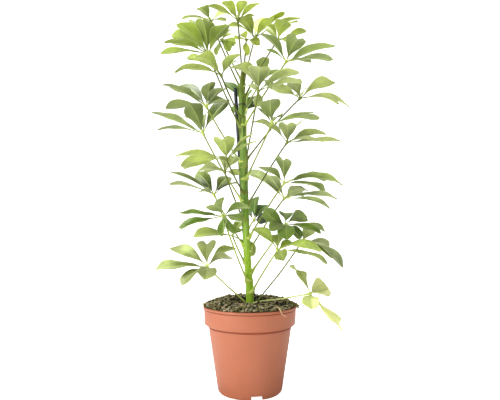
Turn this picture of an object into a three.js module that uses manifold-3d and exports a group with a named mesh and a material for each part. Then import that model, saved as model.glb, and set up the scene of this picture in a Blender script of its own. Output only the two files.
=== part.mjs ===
// A potted umbrella plant: a green stem tied to a black cane in a 13 cm terracotta-coloured
// nursery pot, with thirty compound leaves, each a stalk with a whorl of leaflets at its end.
// Millimetres, +Z up. The origin is the middle of the pot's foot, on the ground.

import * as THREE from "three";
import { mergeVertices } from "three/addons/utils/BufferGeometryUtils.js";
import Module from "manifold-3d";

const wasm = await Module();
wasm.setup();

// Driving dimensions
const GAP = 0.3; // air between pieces that touch
const POT = {
  height: 119,
  wall: 1.6,
  lipRadius: 65.4,
  lipHeight: 3.2, // the thicker rolled edge at the top
  lipWall: 2.4,
  collarFoot: 94.5, // height where the straight collar ends
  collarRadius: 63.3,
  shoulder: 90.2, // height where the shoulder meets the tapered wall
  shoulderRadius: 58,
  baseRadius: 45.2,
  footInset: 2.6, // the foot ring stands this far in from the wall
  footHeight: 6, // the floor of the pot is raised by this
  footWidth: 2.6,
  sides: 32,
};
// Drain slots through the foot ring; first is the angle of the front one, in degrees
const SLOT = { count: 3, width: 16.5, depth: 12, first: -77 };
const SOIL = { crest: 119.5, mound: 6, backRise: 3.5, holeDepth: 9, stemHollow: 6.5, hollowReach: 0.28 };
// Radii of the soil surface's rings, as shares of the pot's lip
const SOIL_RINGS = [0.92, 0.72, 0.5, 0.28];
const STEM = { bottom: 62, top: 443, sides: 8, step: 14, footBulge: 0.7, bulgeReach: 5 };
const CANE = { radius: 2.5, roundedEnd: 2, sides: 12 };
const TIE = { height: 399.5, depth: 2.2, thickness: 0.9, slack: 0.4 };
const STALK = { radius: 1.2, sides: 4, soilDepth: 5 };
const HUB = { radius: 2.5, height: 1.1, leafletStart: 1.4 };
const STALK_FOOT = 0.8; // how far out a stalk starts, as a share of the stem's radius
// Rings of a leaf's stalk: the pale sheath at its foot, the slim stalk, the swollen hub
const STALK_RINGS = [
  { along: 0, radius: 2.3 },
  { along: 0.08, radius: 1.25 },
  { along: 0.36, radius: STALK.radius },
  { along: 0.68, radius: STALK.radius },
  { along: 0.955, radius: STALK.radius },
  { along: 1, radius: HUB.radius },
];
const BLADE = { thickness: 0.75, fold: 0.16, wave: 0.05, notch: 0.035 };
const LEAFLET_STALK = { width: 1.7, thickness: 1 };

// Half width of a leaflet along its length, as shares of its length and of its half width.
// The first two rows are its own short stalk, the rest the blade, widest past the middle.
const BLADE_ROWS = [
  { along: 0, across: 0 },
  { along: 0.15, across: 0 },
  { along: 0.46, across: 0.78 },
  { along: 0.79, across: 1 },
  { along: 1, across: 0.42 },
];

// The stem's middle line and radius: height, x, y, radius
const STEM_LINE = [
  [62, 4, 0, 4.8],
  [124, 0, 0, 5.3],
  [142, -0.4, 0, 5.6],
  [164, -2.2, 0, 4.9],
  [196, -4.3, 0.5, 4.8],
  [240, -6.1, 0.5, 4.7],
  [294, -8.4, 0, 5.3],
  [336, -9.1, -1, 5.3],
  [385, -11.6, 0, 4.5],
  [413, -11.2, 0, 4.2],
  [443, -9.8, 0, 3],
];
// The cane's middle line: it leans a little, behind the stem and to its left
const CANE_FOOT = [1.3, 17, 58];
const CANE_TOP = [-20.8, 4.5, 425];

// The leaves, from the crown down. hub is where the leaflets meet, foot the height where the
// stalk leaves the stem, bow how far the stalk sags below or rises above a straight line.
// A leaflet is its heading, seen from above, and its rise, in degrees, then its length, width,
// turn about its own line in degrees, and how high it arches between its ends.
const LEAVES = [
  { name: "leaf_01", hub: [-16, -36, 501], foot: 435, bow: 3, leaflets: [
    [-111, 6, 48, 14, 5, 3], [158, 32, 52, 13, 20, 3], [-78, 7, 46, 14, 0, 3],
    [-48, 11, 44, 16, 15, 3], [21, 25, 26, 8, -5, 2], [102, 34, 46, 17, 20, 3],
  ] },
  { name: "leaf_02", hub: [-56, 18, 524], foot: 423, bow: -6, leaflets: [
    [-105, -1, 46, 17, 10, 3], [51, 34, 44, 16, 25, 3], [162, 12, 48, 12, -5, 4],
    [59, 21, 40, 12, -5, 2], [106, 25, 42, 16, -15, 3],
  ] },
  { name: "leaf_03", hub: [-42, 38, 505], foot: 434, bow: -4, leaflets: [
    [-62, 6, 34, 13, 25, 2], [54, 33, 34, 13, 15, 2], [-42, -23, 32, 12, -85, 2],
    [-50, -47, 30, 14, 55, 2], [-121, -64, 30, 12, 5, 2],
  ] },
  { name: "leaf_04", hub: [-5, -10, 486], foot: 442, bow: 2, leaflets: [
    [-87, -73, 26, 12, -30, 2], [111, 45, 22, 12, -35, 1], [138, 19, 24, 12, 10, 1],
    [43, 1, 26, 12, -35, 2],
  ] },
  { name: "leaf_05", hub: [7, 44, 510], foot: 428, bow: 4, leaflets: [
    [-111, 9, 56, 21, 10, 3], [155, 32, 52, 13, 10, 5], [-58, 16, 50, 18, 5, 3],
    [-14, 18, 73, 20, 10, 4], [65, 57, 50, 18, 0, 3], [-21, 33, 56, 21, 5, 3],
  ] },
  { name: "leaf_06", hub: [38, -8, 486], foot: 409, bow: 6, leaflets: [
    [-81, 4, 54, 22, -20, 3], [22, 24, 50, 18, -20, 0], [134, 52, 34, 13, -70, 2],
    [69, 18, 48, 12, 0, 3], [38, 44, 52, 19, 10, 5],
  ] },
  { name: "leaf_07", hub: [-56, -32, 459], foot: 367, bow: -4, leaflets: [
    [-91, 16, 66, 24, -5, 4], [-122, 17, 64, 24, 0, 4], [163, 29, 62, 23, 20, 4],
    [-142, -1, 66, 24, 0, 4], [163, 6, 70, 20, 0, 3], [-61, 16, 62, 23, 5, 4],
    [150, 60, 60, 22, -15, 4],
  ] },
  { name: "leaf_08", hub: [49, -24, 451], foot: 370, bow: 4, leaflets: [
    [-126, 18, 62, 23, -20, 4], [-79, 11, 58, 26, -25, 3], [-34, 5, 72, 26, 0, 2],
    [17, 8, 70, 22, -5, 2], [42, 12, 52, 14, 0, 3], [160, 34, 36, 12, 5, 3],
  ] },
  { name: "leaf_09", hub: [20, 60, 453], foot: 389, bow: 4, leaflets: [
    [-90, 18, 54, 20, 5, 3], [43, 25, 54, 20, 30, 3], [127, 38, 52, 19, -10, 3],
    [101, 17, 56, 21, 25, 3], [72, -1, 52, 19, 15, 3],
  ] },
  { name: "leaf_10", hub: [11, -42, 406], foot: 311, bow: 3, leaflets: [
    [-129, 17, 58, 21, 10, 12], [-88, 13, 58, 27, -5, 3], [-40, 10, 66, 24, -5, 5],
    [9, 14, 62, 23, -5, 4], [90, -27, 30, 13, -10, 2], [117, 25, 40, 15, -15, 2],
  ] },
  { name: "leaf_11", hub: [-37, -54, 423], foot: 381, bow: -6, leaflets: [
    [-148, -7, 66, 24, 5, 7], [-117, 5, 60, 22, 20, 4], [153, 30, 62, 16, 25, 5],
    [-63, 11, 54, 20, 15, 3], [52, 42, 40, 15, 0, 2], [137, 38, 42, 16, -5, 3],
  ] },
  { name: "leaf_12", hub: [74, 36, 418], foot: 322, bow: 8, leaflets: [
    [-140, 8, 56, 21, 15, 1], [-110, 12, 50, 21, 20, 3], [-42, 10, 62, 23, -20, 6],
    [-31, -17, 80, 24, -5, 7], [19, -3, 66, 18, -5, 7], [79, 24, 56, 21, -30, 3],
  ] },
  { name: "leaf_13", hub: [-60, -10, 394], foot: 319, bow: -6, leaflets: [
    [-138, 13, 72, 27, -5, 4], [144, 35, 66, 24, -35, 4], [-80, 17, 58, 21, 25, 3],
    [-60, 13, 54, 20, 5, 3], [158, 3, 66, 24, 10, 4], [53, 24, 46, 17, 40, 3],
  ] },
  { name: "leaf_14", hub: [29, -40, 364], foot: 295, bow: 0, leaflets: [
    [-95, 18, 56, 27, 5, 3], [-38, 5, 64, 15, 0, 0], [14, 8, 68, 18, -10, 4],
    [139, 44, 36, 13, -5, 2], [74, 22, 52, 19, -20, 3],
  ] },
  { name: "leaf_15", hub: [-67, 14, 362], foot: 265, bow: -8, leaflets: [
    [-157, 17, 78, 29, 0, 2], [166, 7, 72, 18, 5, 4], [-105, 30, 60, 28, 30, 4],
    [89, 41, 60, 22, -40, 4], [20, 53, 66, 24, 40, 4], [128, 34, 56, 21, 5, 3],
  ] },
  { name: "leaf_16", hub: [53, 14, 349], foot: 259, bow: 5, leaflets: [
    [-151, 22, 62, 23, -5, 7], [-95, 18, 54, 25, 0, 3], [64, 37, 62, 23, -20, 4],
    [-35, 5, 62, 23, -15, 4], [0, 1, 80, 18, -10, 1], [-34, -5, 56, 14, -10, 5],
  ] },
  { name: "leaf_17", hub: [-6, 66, 407], foot: 308, bow: 3, leaflets: [
    [159, 52, 62, 23, -25, 4], [84, 46, 56, 21, -35, 3], [104, 35, 60, 22, 20, 4],
    [62, 25, 56, 21, 25, 3], [69, 40, 52, 19, -10, 3], [114, 9, 54, 20, 10, 3],
  ] },
  { name: "leaf_18", hub: [-29, -72, 312], foot: 276, bow: -6, leaflets: [
    [-94, 21, 52, 25, 5, 3], [-47, 28, 54, 13, 25, 3], [-152, -1, 70, 20, 10, 4],
    [175, -8, 60, 22, 30, 4], [-32, 22, 52, 13, 10, 3],
  ] },
  { name: "leaf_19", hub: [-34, -26, 302], foot: 238, bow: -6, leaflets: [
    [165, 7, 62, 23, 20, 9], [-127, -3, 52, 19, 30, 3], [-96, 29, 36, 13, -15, 2],
    [-49, 31, 34, 13, -20, 2], [-38, -13, 26, 12, 45, 2], [77, 23, 40, 14, -25, 2],
    [127, 5, 50, 18, 10, 3],
  ] },
  { name: "leaf_20", hub: [47, -18, 288], foot: 213, bow: 5, leaflets: [
    [-96, 26, 60, 22, -20, 4], [-136, 18, 56, 21, 0, 3], [-22, -4, 80, 26, -15, 8],
    [-35, -13, 62, 23, 15, 3], [21, 5, 66, 18, -20, 6],
  ] },
  { name: "leaf_21", hub: [-53, 34, 276], foot: 200, bow: -6, leaflets: [
    [-167, 26, 74, 20, 5, 4], [-169, 12, 67, 18, 10, 4], [131, 39, 58, 22, -45, 3],
    [67, 33, 58, 21, 20, 3], [-112, 1, 46, 17, 20, 3], [51, 21, 58, 14, 0, 3],
  ] },
  { name: "leaf_22", hub: [50, 24, 270], foot: 195, bow: 6, leaflets: [
    [121, 39, 60, 22, -5, 4], [-1, -1, 78, 20, -15, 6], [-13, -14, 68, 20, -15, 4],
    [40, 16, 52, 19, 40, 6], [147, 34, 78, 26, -25, 2], [56, 6, 56, 21, 15, 3],
  ] },
  { name: "leaf_23", hub: [6, 58, 238], foot: 216, bow: 8, leaflets: [
    [86, 44, 56, 21, -35, 3], [62, 29, 54, 20, 5, 3], [-69, -3, 48, 18, 65, 3],
    [120, 31, 58, 21, -5, 3],
  ] },
  { name: "leaf_24", hub: [-35, -52, 242], foot: 153, bow: -8, leaflets: [
    [-100, 15, 50, 25, 40, 3], [-48, 10, 54, 20, -20, 3], [62, -7, 50, 18, -25, 3],
    [-152, 3, 60, 14, 20, 0], [-151, -16, 62, 23, -15, 1], [-70, -28, 48, 18, -20, 3],
    [-87, -30, 50, 18, 50, 3],
  ] },
  { name: "leaf_25", hub: [51, 14, 232], foot: 164, bow: 1, leaflets: [
    [88, 19, 58, 22, 5, 3], [52, 10, 60, 22, 65, 4], [15, -10, 62, 23, -15, 2],
    [-36, -13, 58, 21, 15, 3], [-93, -23, 54, 24, 5, 3], [-126, 20, 58, 21, 35, -5],
    [-70, -24, 50, 18, 5, 3], [-119, -10, 50, 18, -35, 3],
  ] },
  { name: "leaf_26", hub: [-25, 10, 216], foot: 178, bow: -5, leaflets: [
    [-140, -1, 66, 24, -30, 2], [67, 28, 42, 16, 15, 3], [67, 11, 42, 16, 15, 3],
    [35, -37, 48, 19, -60, 3],
  ] },
  { name: "leaf_27", hub: [76, 40, 205], foot: 123, bow: 1, leaflets: [
    [59, 26, 46, 19, 45, 3], [39, -7, 62, 23, -25, 4], [-49, -23, 84, 24, -5, 10],
    [-58, -16, 72, 18, -5, 4],
  ] },
  { name: "leaf_28", hub: [36, -44, 197], foot: 137, bow: 4, leaflets: [
    [133, 33, 55, 20, -20, 5], [84, 26, 48, 20, -5, 3], [-27, 0, 60, 22, 25, 8],
    [-10, -14, 67, 25, 10, 4], [-83, -13, 46, 18, 35, 3], [56, 16, 40, 15, 20, 2],
  ] },
  { name: "leaf_29", hub: [-57, -36, 175], foot: 122, bow: 3, leaflets: [
    [158, 23, 62, 23, -30, 6], [95, 32, 62, 27, -5, 4], [41, 27, 54, 20, 15, 5],
    [-39, 15, 48, 18, -30, 6], [-154, -1, 70, 26, -20, 2], [-125, -22, 52, 19, -5, 3],
    [-88, -15, 48, 25, -5, 3],
  ] },
  { name: "leaf_30", hub: [78, -48, 141], foot: 118, bow: 3, leaflets: [
    [125, 40, 54, 20, 5, 5], [51, 10, 42, 22, 60, 3], [-94, -19, 42, 22, 5, 3],
    [-48, -37, 66, 24, 0, 1], [47, -10, 46, 17, -20, 3],
  ] },
];
// The lowest leaves come up through the soil beside the stem instead of leaving it
const FROM_SOIL = { leaf_27: [13, 11], leaf_29: [-5, -8.5], leaf_30: [7, -9] };

const radians = THREE.MathUtils.degToRad;
const UP = new THREE.Vector3(0, 0, 1);

function material(color, roughness, metalness = 0) {
  return new THREE.MeshStandardMaterial({ color, roughness, metalness });
}

const MATERIALS = {
  pot: material(0xc97c5c, 0.55),
  soil: material(0x4a3b28, 0.95),
  stem: material(0x7da03c, 0.6),
  cane: material(0x1d2329, 0.5),
  tie: material(0x23282c, 0.6),
};

// Solids

function toSolid(geometry) {
  const bare = geometry.clone();
  bare.deleteAttribute("normal");
  bare.deleteAttribute("uv");
  const merged = mergeVertices(bare, 1e-4);
  return new wasm.Manifold(
    new wasm.Mesh({
      numProp: 3,
      vertProperties: new Float32Array(merged.attributes.position.array),
      triVerts: new Uint32Array(merged.index.array),
    }),
  );
}

function toGeometry(solid) {
  const { vertProperties, triVerts } = solid.getMesh();
  const geometry = new THREE.BufferGeometry();
  geometry.setAttribute("position", new THREE.BufferAttribute(new Float32Array(vertProperties), 3));
  geometry.setIndex(new THREE.BufferAttribute(new Uint32Array(triVerts), 1));
  geometry.computeVertexNormals();
  return geometry;
}

function joined(geometries) {
  return geometries.map(toSolid).reduce((whole, solid) => whole.add(solid));
}

function piece(name, solid, surface) {
  const mesh = new THREE.Mesh(toGeometry(solid), surface);
  mesh.name = name;
  return mesh;
}

// A profile of [radius, height] points from the axis round to the axis again, turned about Z
function turned(profile, sides) {
  const points = profile.map(([radius, height]) => new THREE.Vector2(radius, height));
  return new THREE.LatheGeometry(points, sides).rotateX(Math.PI / 2);
}

function standingCylinder(x, y, bottom, top, radius, sides = 12) {
  const cylinder = new THREE.CylinderGeometry(radius, radius, top - bottom, sides);
  return cylinder.rotateX(Math.PI / 2).translate(x, y, (top + bottom) / 2);
}

// A round rod along a curve, through rings of their own radius, closed at both ends
function rod(curve, rings, sides) {
  const body = new THREE.CylinderGeometry(1, 1, rings.length - 1, sides, rings.length - 1);
  body.rotateX(Math.PI / 2).translate(0, 0, (rings.length - 1) / 2);
  const position = body.attributes.position;
  for (let i = 0; i < position.count; i += 1) {
    const ring = rings[Math.round(position.getZ(i))];
    const turn = new THREE.Quaternion().setFromUnitVectors(UP, curve.getTangent(ring.along));
    const point = new THREE.Vector3(position.getX(i), position.getY(i), 0).multiplyScalar(ring.radius);
    point.applyQuaternion(turn).add(curve.getPoint(ring.along));
    position.setXYZ(i, point.x, point.y, point.z);
  }
  return body;
}

// Value of a table of rows [height, ...values] at a height
function alongTable(rows, height) {
  const last = rows.length - 1;
  const above = rows.findIndex((row) => row[0] >= height);
  const i = above < 0 ? last : Math.max(above, 1);
  const [low, high] = [rows[i - 1], rows[i]];
  const share = THREE.MathUtils.clamp((height - low[0]) / (high[0] - low[0]), 0, 1);
  return low.slice(1).map((value, k) => value + share * (high[k + 1] - value));
}

// Pot

function potProfile() {
  const { lipRadius, height, wall, collarFoot, shoulder, footHeight, footWidth } = POT;
  const { shoulderRadius, collarRadius, baseRadius } = POT;
  const lipUnder = height - POT.lipHeight;
  const footRadius = baseRadius - POT.footInset;
  const outside = [
    [0, footHeight],
    [footRadius - footWidth, footHeight],
    [footRadius - footWidth, 0],
    [footRadius, 0],
    [baseRadius - 0.9, 1.6],
    [baseRadius, 4.2],
    [shoulderRadius, shoulder],
    [collarRadius, collarFoot],
    [lipRadius - 0.9, lipUnder],
    [lipRadius, lipUnder + 0.7],
    [lipRadius + 0.2, height - 1.6],
    [lipRadius - 0.6, height - 0.3],
    [lipRadius - 1.5, height],
  ];
  return [...outside, ...potInside(0).reverse(), [0, footHeight + wall]];
}

// The inner wall from the floor up, at a clearance from it
function potInside(clearance) {
  const { wall, collarFoot, shoulder, footHeight, height, lipRadius } = POT;
  const inset = wall + clearance;
  return [
    [POT.baseRadius - inset + 0.5, footHeight + wall + clearance],
    [POT.shoulderRadius - inset, shoulder + clearance],
    [POT.collarRadius - inset, collarFoot + clearance],
    [lipRadius - POT.lipWall - clearance, height - 0.4],
  ];
}

function makePot() {
  let solid = toSolid(turned(potProfile(), POT.sides));
  for (let i = 0; i < SLOT.count; i += 1) {
    const slot = new THREE.BoxGeometry(SLOT.depth, SLOT.width, 2 * POT.footHeight);
    slot.translate(POT.baseRadius - POT.footInset, 0, 0);
    slot.rotateZ(radians(SLOT.first + (360 * i) / SLOT.count));
    solid = solid.subtract(toSolid(slot));
  }
  return piece("pot", solid, MATERIALS.pot);
}

// Soil

// Height of the crumbly surface: a low mound, heaped to the back, with a hollow round the stem
function soilSurface(x, y) {
  const out = Math.hypot(x, y) / POT.lipRadius;
  const mound = (SOIL.mound + (SOIL.backRise * y) / POT.lipRadius) * (1 - out ** 4);
  const rough =
    1.5 * Math.sin(0.21 * x + 1.3) * Math.cos(0.17 * y) +
    1.1 * Math.sin(0.43 * x - 0.37 * y + 0.8) +
    0.7 * Math.cos(0.71 * x + 0.64 * y);
  const hollow = SOIL.stemHollow * Math.exp(-((out / SOIL.hollowReach) ** 2));
  return SOIL.crest + mound + rough * (1 - out ** 6) - hollow;
}

function makeSoil() {
  const wall = potInside(GAP);
  const top = SOIL_RINGS.map((share) => [share * POT.lipRadius, SOIL.crest]);
  const body = turned([[0, wall[0][1]], ...wall, ...top, [0, SOIL.crest]], POT.sides);
  const position = body.attributes.position;
  for (let i = 0; i < position.count; i += 1) {
    if (position.getZ(i) < SOIL.crest - 0.01) continue;
    position.setZ(i, soilSurface(position.getX(i), position.getY(i)));
  }
  let solid = toSolid(body);
  solid = solid.subtract(toSolid(stemGeometry(GAP)));
  solid = solid.subtract(toSolid(caneGeometry(GAP)));
  for (const [x, y] of Object.values(FROM_SOIL)) {
    const floor = soilSurface(x, y) - SOIL.holeDepth;
    const hole = standingCylinder(x, y, floor, floor + 2 * SOIL.holeDepth, 2 * STALK.radius);
    solid = solid.subtract(toSolid(hole));
  }
  return piece("soil", solid, MATERIALS.soil);
}

// Stem and cane

// The stem swells at the foot of each leaf. grow widens it, to cut room for it elsewhere.
function stemGeometry(grow = 0) {
  const feet = LEAVES.filter((leaf) => !(leaf.name in FROM_SOIL)).map((leaf) => leaf.foot);
  const length = STEM.top - STEM.bottom + 2 * grow;
  const rings = Math.round(length / STEM.step);
  const body = new THREE.CylinderGeometry(1, 1, length, STEM.sides, rings);
  body.rotateX(Math.PI / 2).translate(0, 0, (STEM.top + STEM.bottom) / 2);
  const position = body.attributes.position;
  for (let i = 0; i < position.count; i += 1) {
    const z = position.getZ(i);
    const [x, y, radius] = alongTable(STEM_LINE, z);
    const near = Math.min(...feet.map((foot) => Math.abs(foot - z)));
    const bulge = near < STEM.bulgeReach ? STEM.footBulge * (1 - near / STEM.bulgeReach) : 0;
    const wide = radius + bulge + grow;
    position.setXY(i, x + wide * position.getX(i), y + wide * position.getY(i));
  }
  return body;
}

function caneGeometry(grow = 0) {
  const foot = new THREE.Vector3(...CANE_FOOT);
  const top = new THREE.Vector3(...CANE_TOP);
  const length = foot.distanceTo(top);
  const radius = CANE.radius + grow;
  const profile = [
    [0, -grow],
    [radius, -grow],
    [radius, length - CANE.roundedEnd],
    [0.7 * radius, length - 0.25 * CANE.roundedEnd + grow],
    [0, length + grow],
  ];
  const body = turned(profile, CANE.sides);
  const lean = new THREE.Quaternion().setFromUnitVectors(UP, top.clone().sub(foot).normalize());
  return body.applyQuaternion(lean).translate(...CANE_FOOT);
}

function caneMiddle(height) {
  const share = (height - CANE_FOOT[2]) / (CANE_TOP[2] - CANE_FOOT[2]);
  return CANE_FOOT.map((value, k) => value + share * (CANE_TOP[k] - value));
}

// A flat band round the stem and the cane: two half circles joined by straight runs
function makeTie() {
  const [stemX, stemY, stemRadius] = alongTable(STEM_LINE, TIE.height);
  const [caneX, caneY] = caneMiddle(TIE.height);
  const reach = Math.hypot(caneX - stemX, caneY - stemY);
  const around = stemRadius + GAP + TIE.slack;
  const outline = (grow) => {
    const path = new THREE.Shape();
    path.absarc(0, 0, around + grow, -Math.PI / 2, Math.PI / 2, false);
    path.absarc(-reach, 0, CANE.radius + GAP + grow, Math.PI / 2, (3 * Math.PI) / 2, false);
    path.closePath();
    return path;
  };
  const band = outline(TIE.thickness);
  band.holes.push(outline(0));
  const body = new THREE.ExtrudeGeometry(band, {
    depth: TIE.depth,
    bevelEnabled: false,
    curveSegments: 5,
  });
  body.rotateZ(Math.atan2(stemY - caneY, stemX - caneX));
  body.translate(stemX, stemY, TIE.height - TIE.depth / 2);
  return piece("tie", toSolid(body), MATERIALS.tie);
}

// Leaves

// A closed sheet between two grids of points. Rows may have two or three points across.
function sheet(upper, lower) {
  const points = [];
  const index = [];
  const rowStart = { upper: [], lower: [] };
  for (const [side, rows] of Object.entries({ upper, lower })) {
    for (const row of rows) {
      rowStart[side].push(points.length);
      points.push(...row);
    }
  }
  const face = (a, b, c, flip) => index.push(...(flip ? [a, c, b] : [a, b, c]));
  for (let i = 0; i + 1 < upper.length; i += 1) {
    const [here, next] = [upper[i].length, upper[i + 1].length];
    for (const side of ["upper", "lower"]) {
      const flip = side === "lower";
      const [p, q] = [rowStart[side][i], rowStart[side][i + 1]];
      if (here < next) {
        face(p, q, q + 1, !flip);
        face(p, q + 1, p + 1, !flip);
        face(p + 1, q + 1, q + 2, !flip);
      } else {
        for (let j = 0; j + 1 < here; j += 1) {
          face(p + j, q + j, q + j + 1, !flip);
          face(p + j, q + j + 1, p + j + 1, !flip);
        }
      }
    }
    const [u, v] = [rowStart.upper[i], rowStart.upper[i + 1]];
    const [l, m] = [rowStart.lower[i], rowStart.lower[i + 1]];
    const [a, b] = [here - 1, next - 1];
    index.push(u, m, l, u, v, m);
    index.push(u + a, m + b, v + b, u + a, l + a, m + b);
  }
  for (const [end, flip] of [[0, true], [upper.length - 1, false]]) {
    const [u, l] = [rowStart.upper[end], rowStart.lower[end]];
    for (let j = 0; j + 1 < upper[end].length; j += 1) {
      face(u + j, u + j + 1, l + j + 1, flip);
      face(u + j, l + j + 1, l + j, flip);
    }
  }
  const geometry = new THREE.BufferGeometry();
  const flat = points.flatMap((point) => [point.x, point.y, point.z]);
  geometry.setAttribute("position", new THREE.BufferAttribute(new Float32Array(flat), 3));
  geometry.setIndex(index);
  return geometry;
}

function headingVector(heading, rise) {
  const [turn, lift] = [radians(heading), radians(rise)];
  const level = Math.cos(lift);
  return new THREE.Vector3(level * Math.cos(turn), level * Math.sin(turn), Math.sin(lift));
}

// One leaflet: a short stalk and an arched blade, folded up along its midrib, with waved edges
function leaflet(hub, [heading, rise, length, width, turn, arch], wavePhase) {
  const ahead = headingVector(heading, rise);
  const root = HUB.leafletStart / length;
  const levelAcross = ahead.clone().cross(UP).normalize();
  const levelUp = levelAcross.clone().cross(ahead);
  const across = levelAcross.clone().applyAxisAngle(ahead, radians(turn));
  const [upper, lower] = [[], []];
  for (const [i, row] of BLADE_ROWS.entries()) {
    const share = Math.max(row.along, root);
    const middle = hub.clone().addScaledVector(ahead, length * share);
    middle.addScaledVector(levelUp, 4 * arch * share * (1 - share));
    const slope = ahead.clone().addScaledVector(levelUp, (4 * arch * (1 - 2 * share)) / length);
    const normal = across.clone().cross(slope).normalize();
    const half = Math.max(width * row.across, LEAFLET_STALK.width) / 2;
    const isBlade = row.across > 0;
    const edge = (side) => {
      const wave = isBlade ? BLADE.wave * width * Math.sin(wavePhase + 2.4 * i + 1.7 * side) : 0;
      const lift = isBlade ? BLADE.fold * half + wave * row.across : 0;
      return middle.clone().addScaledVector(across, side * half).addScaledVector(normal, lift);
    };
    const points = [edge(-1), edge(1)];
    if (isBlade) {
      const notch = i === BLADE_ROWS.length - 1 ? BLADE.notch * length : 0;
      points.splice(1, 0, middle.clone().addScaledVector(ahead, -notch));
    }
    const depth = isBlade ? BLADE.thickness : LEAFLET_STALK.thickness;
    upper.push(points.map((point) => point.clone().addScaledVector(normal, depth / 2)));
    lower.push(points.map((point) => point.clone().addScaledVector(normal, -depth / 2)));
  }
  return sheet(upper, lower);
}

// Where a leaf's stalk starts: on the stem's surface towards its hub, or down in the soil
function stalkStart(leaf, hub) {
  if (leaf.name in FROM_SOIL) {
    const [x, y] = FROM_SOIL[leaf.name];
    return new THREE.Vector3(x, y, soilSurface(x, y) - STALK.soilDepth);
  }
  const [x, y, radius] = alongTable(STEM_LINE, leaf.foot);
  const out = new THREE.Vector3(hub.x - x, hub.y - y, 0).normalize();
  return new THREE.Vector3(x, y, leaf.foot).addScaledVector(out, STALK_FOOT * radius);
}

function stalkCurve(leaf, hub) {
  const start = stalkStart(leaf, hub);
  const end = hub.clone().addScaledVector(hub.clone().sub(start).normalize(), HUB.height);
  const middle = start.clone().lerp(hub, 0.5).addScaledVector(UP, leaf.bow);
  if (leaf.name in FROM_SOIL) {
    const collar = start.clone().setZ(start.z + STALK.soilDepth + 2);
    return new THREE.CatmullRomCurve3([start, collar, middle, end]);
  }
  return new THREE.QuadraticBezierCurve3(start, middle, end);
}

// The young leaves at the crown are yellower than the old ones at the foot
function leafColour(height) {
  const oldest = new THREE.Color(0x6f9440);
  const youngest = new THREE.Color(0x9bbf2c);
  const lowest = LEAVES.at(-1).hub[2];
  const highest = LEAVES[0].hub[2];
  return oldest.lerp(youngest, THREE.MathUtils.clamp((height - lowest) / (highest - lowest), 0, 1));
}

function makeLeaf(leaf, clearance) {
  const hub = new THREE.Vector3(...leaf.hub);
  const parts = [
    rod(stalkCurve(leaf, hub), STALK_RINGS, STALK.sides),
    ...leaf.leaflets.map((values, i) => leaflet(hub, values, 1.9 * i + leaf.foot)),
  ];
  const solid = joined(parts).subtract(clearance);
  return piece(leaf.name, solid, material(leafColour(leaf.hub[2]), 0.5));
}

function makePlant() {
  const plant = new THREE.Group();
  plant.add(makePot(), makeSoil(), makeTie());
  plant.add(piece("stem", toSolid(stemGeometry()), MATERIALS.stem));
  plant.add(piece("support_cane", toSolid(caneGeometry()), MATERIALS.cane));
  const clearance = toSolid(stemGeometry(GAP)).add(toSolid(caneGeometry(GAP)));
  for (const leaf of LEAVES) plant.add(makeLeaf(leaf, clearance));
  return plant;
}

export default makePlant();
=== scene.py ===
"""A potted umbrella plant in a terracotta-coloured nursery pot, dressed for a studio picture.

The solids are the frame. Each leaf, the stem, the cane, the tie, the soil and the pot is rebuilt
here over its solid with a finer surface and its own materials. Lengths in the tables are in
millimetres and angles in degrees, +Z is up and -Y is towards the viewer.
"""

import math
import random

import bpy
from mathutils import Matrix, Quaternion, Vector, noise


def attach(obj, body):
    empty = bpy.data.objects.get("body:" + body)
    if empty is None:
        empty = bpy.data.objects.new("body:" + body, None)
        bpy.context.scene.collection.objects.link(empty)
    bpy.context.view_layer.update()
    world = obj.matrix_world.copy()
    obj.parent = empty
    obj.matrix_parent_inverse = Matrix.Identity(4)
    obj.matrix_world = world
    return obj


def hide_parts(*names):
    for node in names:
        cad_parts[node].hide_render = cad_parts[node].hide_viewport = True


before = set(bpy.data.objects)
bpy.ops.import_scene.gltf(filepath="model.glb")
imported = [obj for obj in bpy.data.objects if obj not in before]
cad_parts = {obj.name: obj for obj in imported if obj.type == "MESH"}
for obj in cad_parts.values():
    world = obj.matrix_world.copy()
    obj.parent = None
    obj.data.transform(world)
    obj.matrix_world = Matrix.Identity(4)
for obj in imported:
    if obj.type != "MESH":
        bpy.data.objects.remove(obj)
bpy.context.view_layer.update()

MM = 0.001
UP = Vector((0, 0, 1))

# The pot: its size, its raised floor, and the drain slots through its foot ring
POT_HEIGHT = 119
POT_LIP_RADIUS = 65.4
POT_FLOOR = (6, 7.6)  # underside and top
FOOT_RING = (39.9, 45.5)  # just inside and just outside it
SLOT_ANGLES = (-77, 43, 163)
SLOT_WIDTH = 16.5
SLOT_RADIUS = 44  # where that width is measured
SLOT_TOP = 5.6

# The soil: a low mound that rises to the back and is hollow round the stem's foot
SOIL_CREST = 119.5
SOIL_MOUND = 6
SOIL_BACK_RISE = 3.5
STEM_HOLLOW = 6.5
HOLLOW_REACH = 0.28  # a share of the lip's radius

# The stem's middle line: height, x, y, radius
STEM_LINE = (
    (62, 4, 0, 4.8), (124, 0, 0, 5.3), (142, -0.4, 0, 5.6), (164, -2.2, 0, 4.9),
    (196, -4.3, 0.5, 4.8), (240, -6.1, 0.5, 4.7), (294, -8.4, 0, 5.3), (336, -9.1, -1, 5.3),
    (385, -11.6, 0, 4.5), (413, -11.2, 0, 4.2), (443, -9.8, 0, 3),
)
CANE_FOOT = Vector((1.3, 17, 58))
CANE_TOP = Vector((-20.8, 4.5, 425))
CANE_RADIUS = 2.5
CANE_ROUNDING = 2  # length of its rounded end
TIE_HEIGHT = 399.5
TIE_CLEAR = {"stem": 0.75, "cane": 0.55}  # from their surfaces to the band's middle

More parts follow.
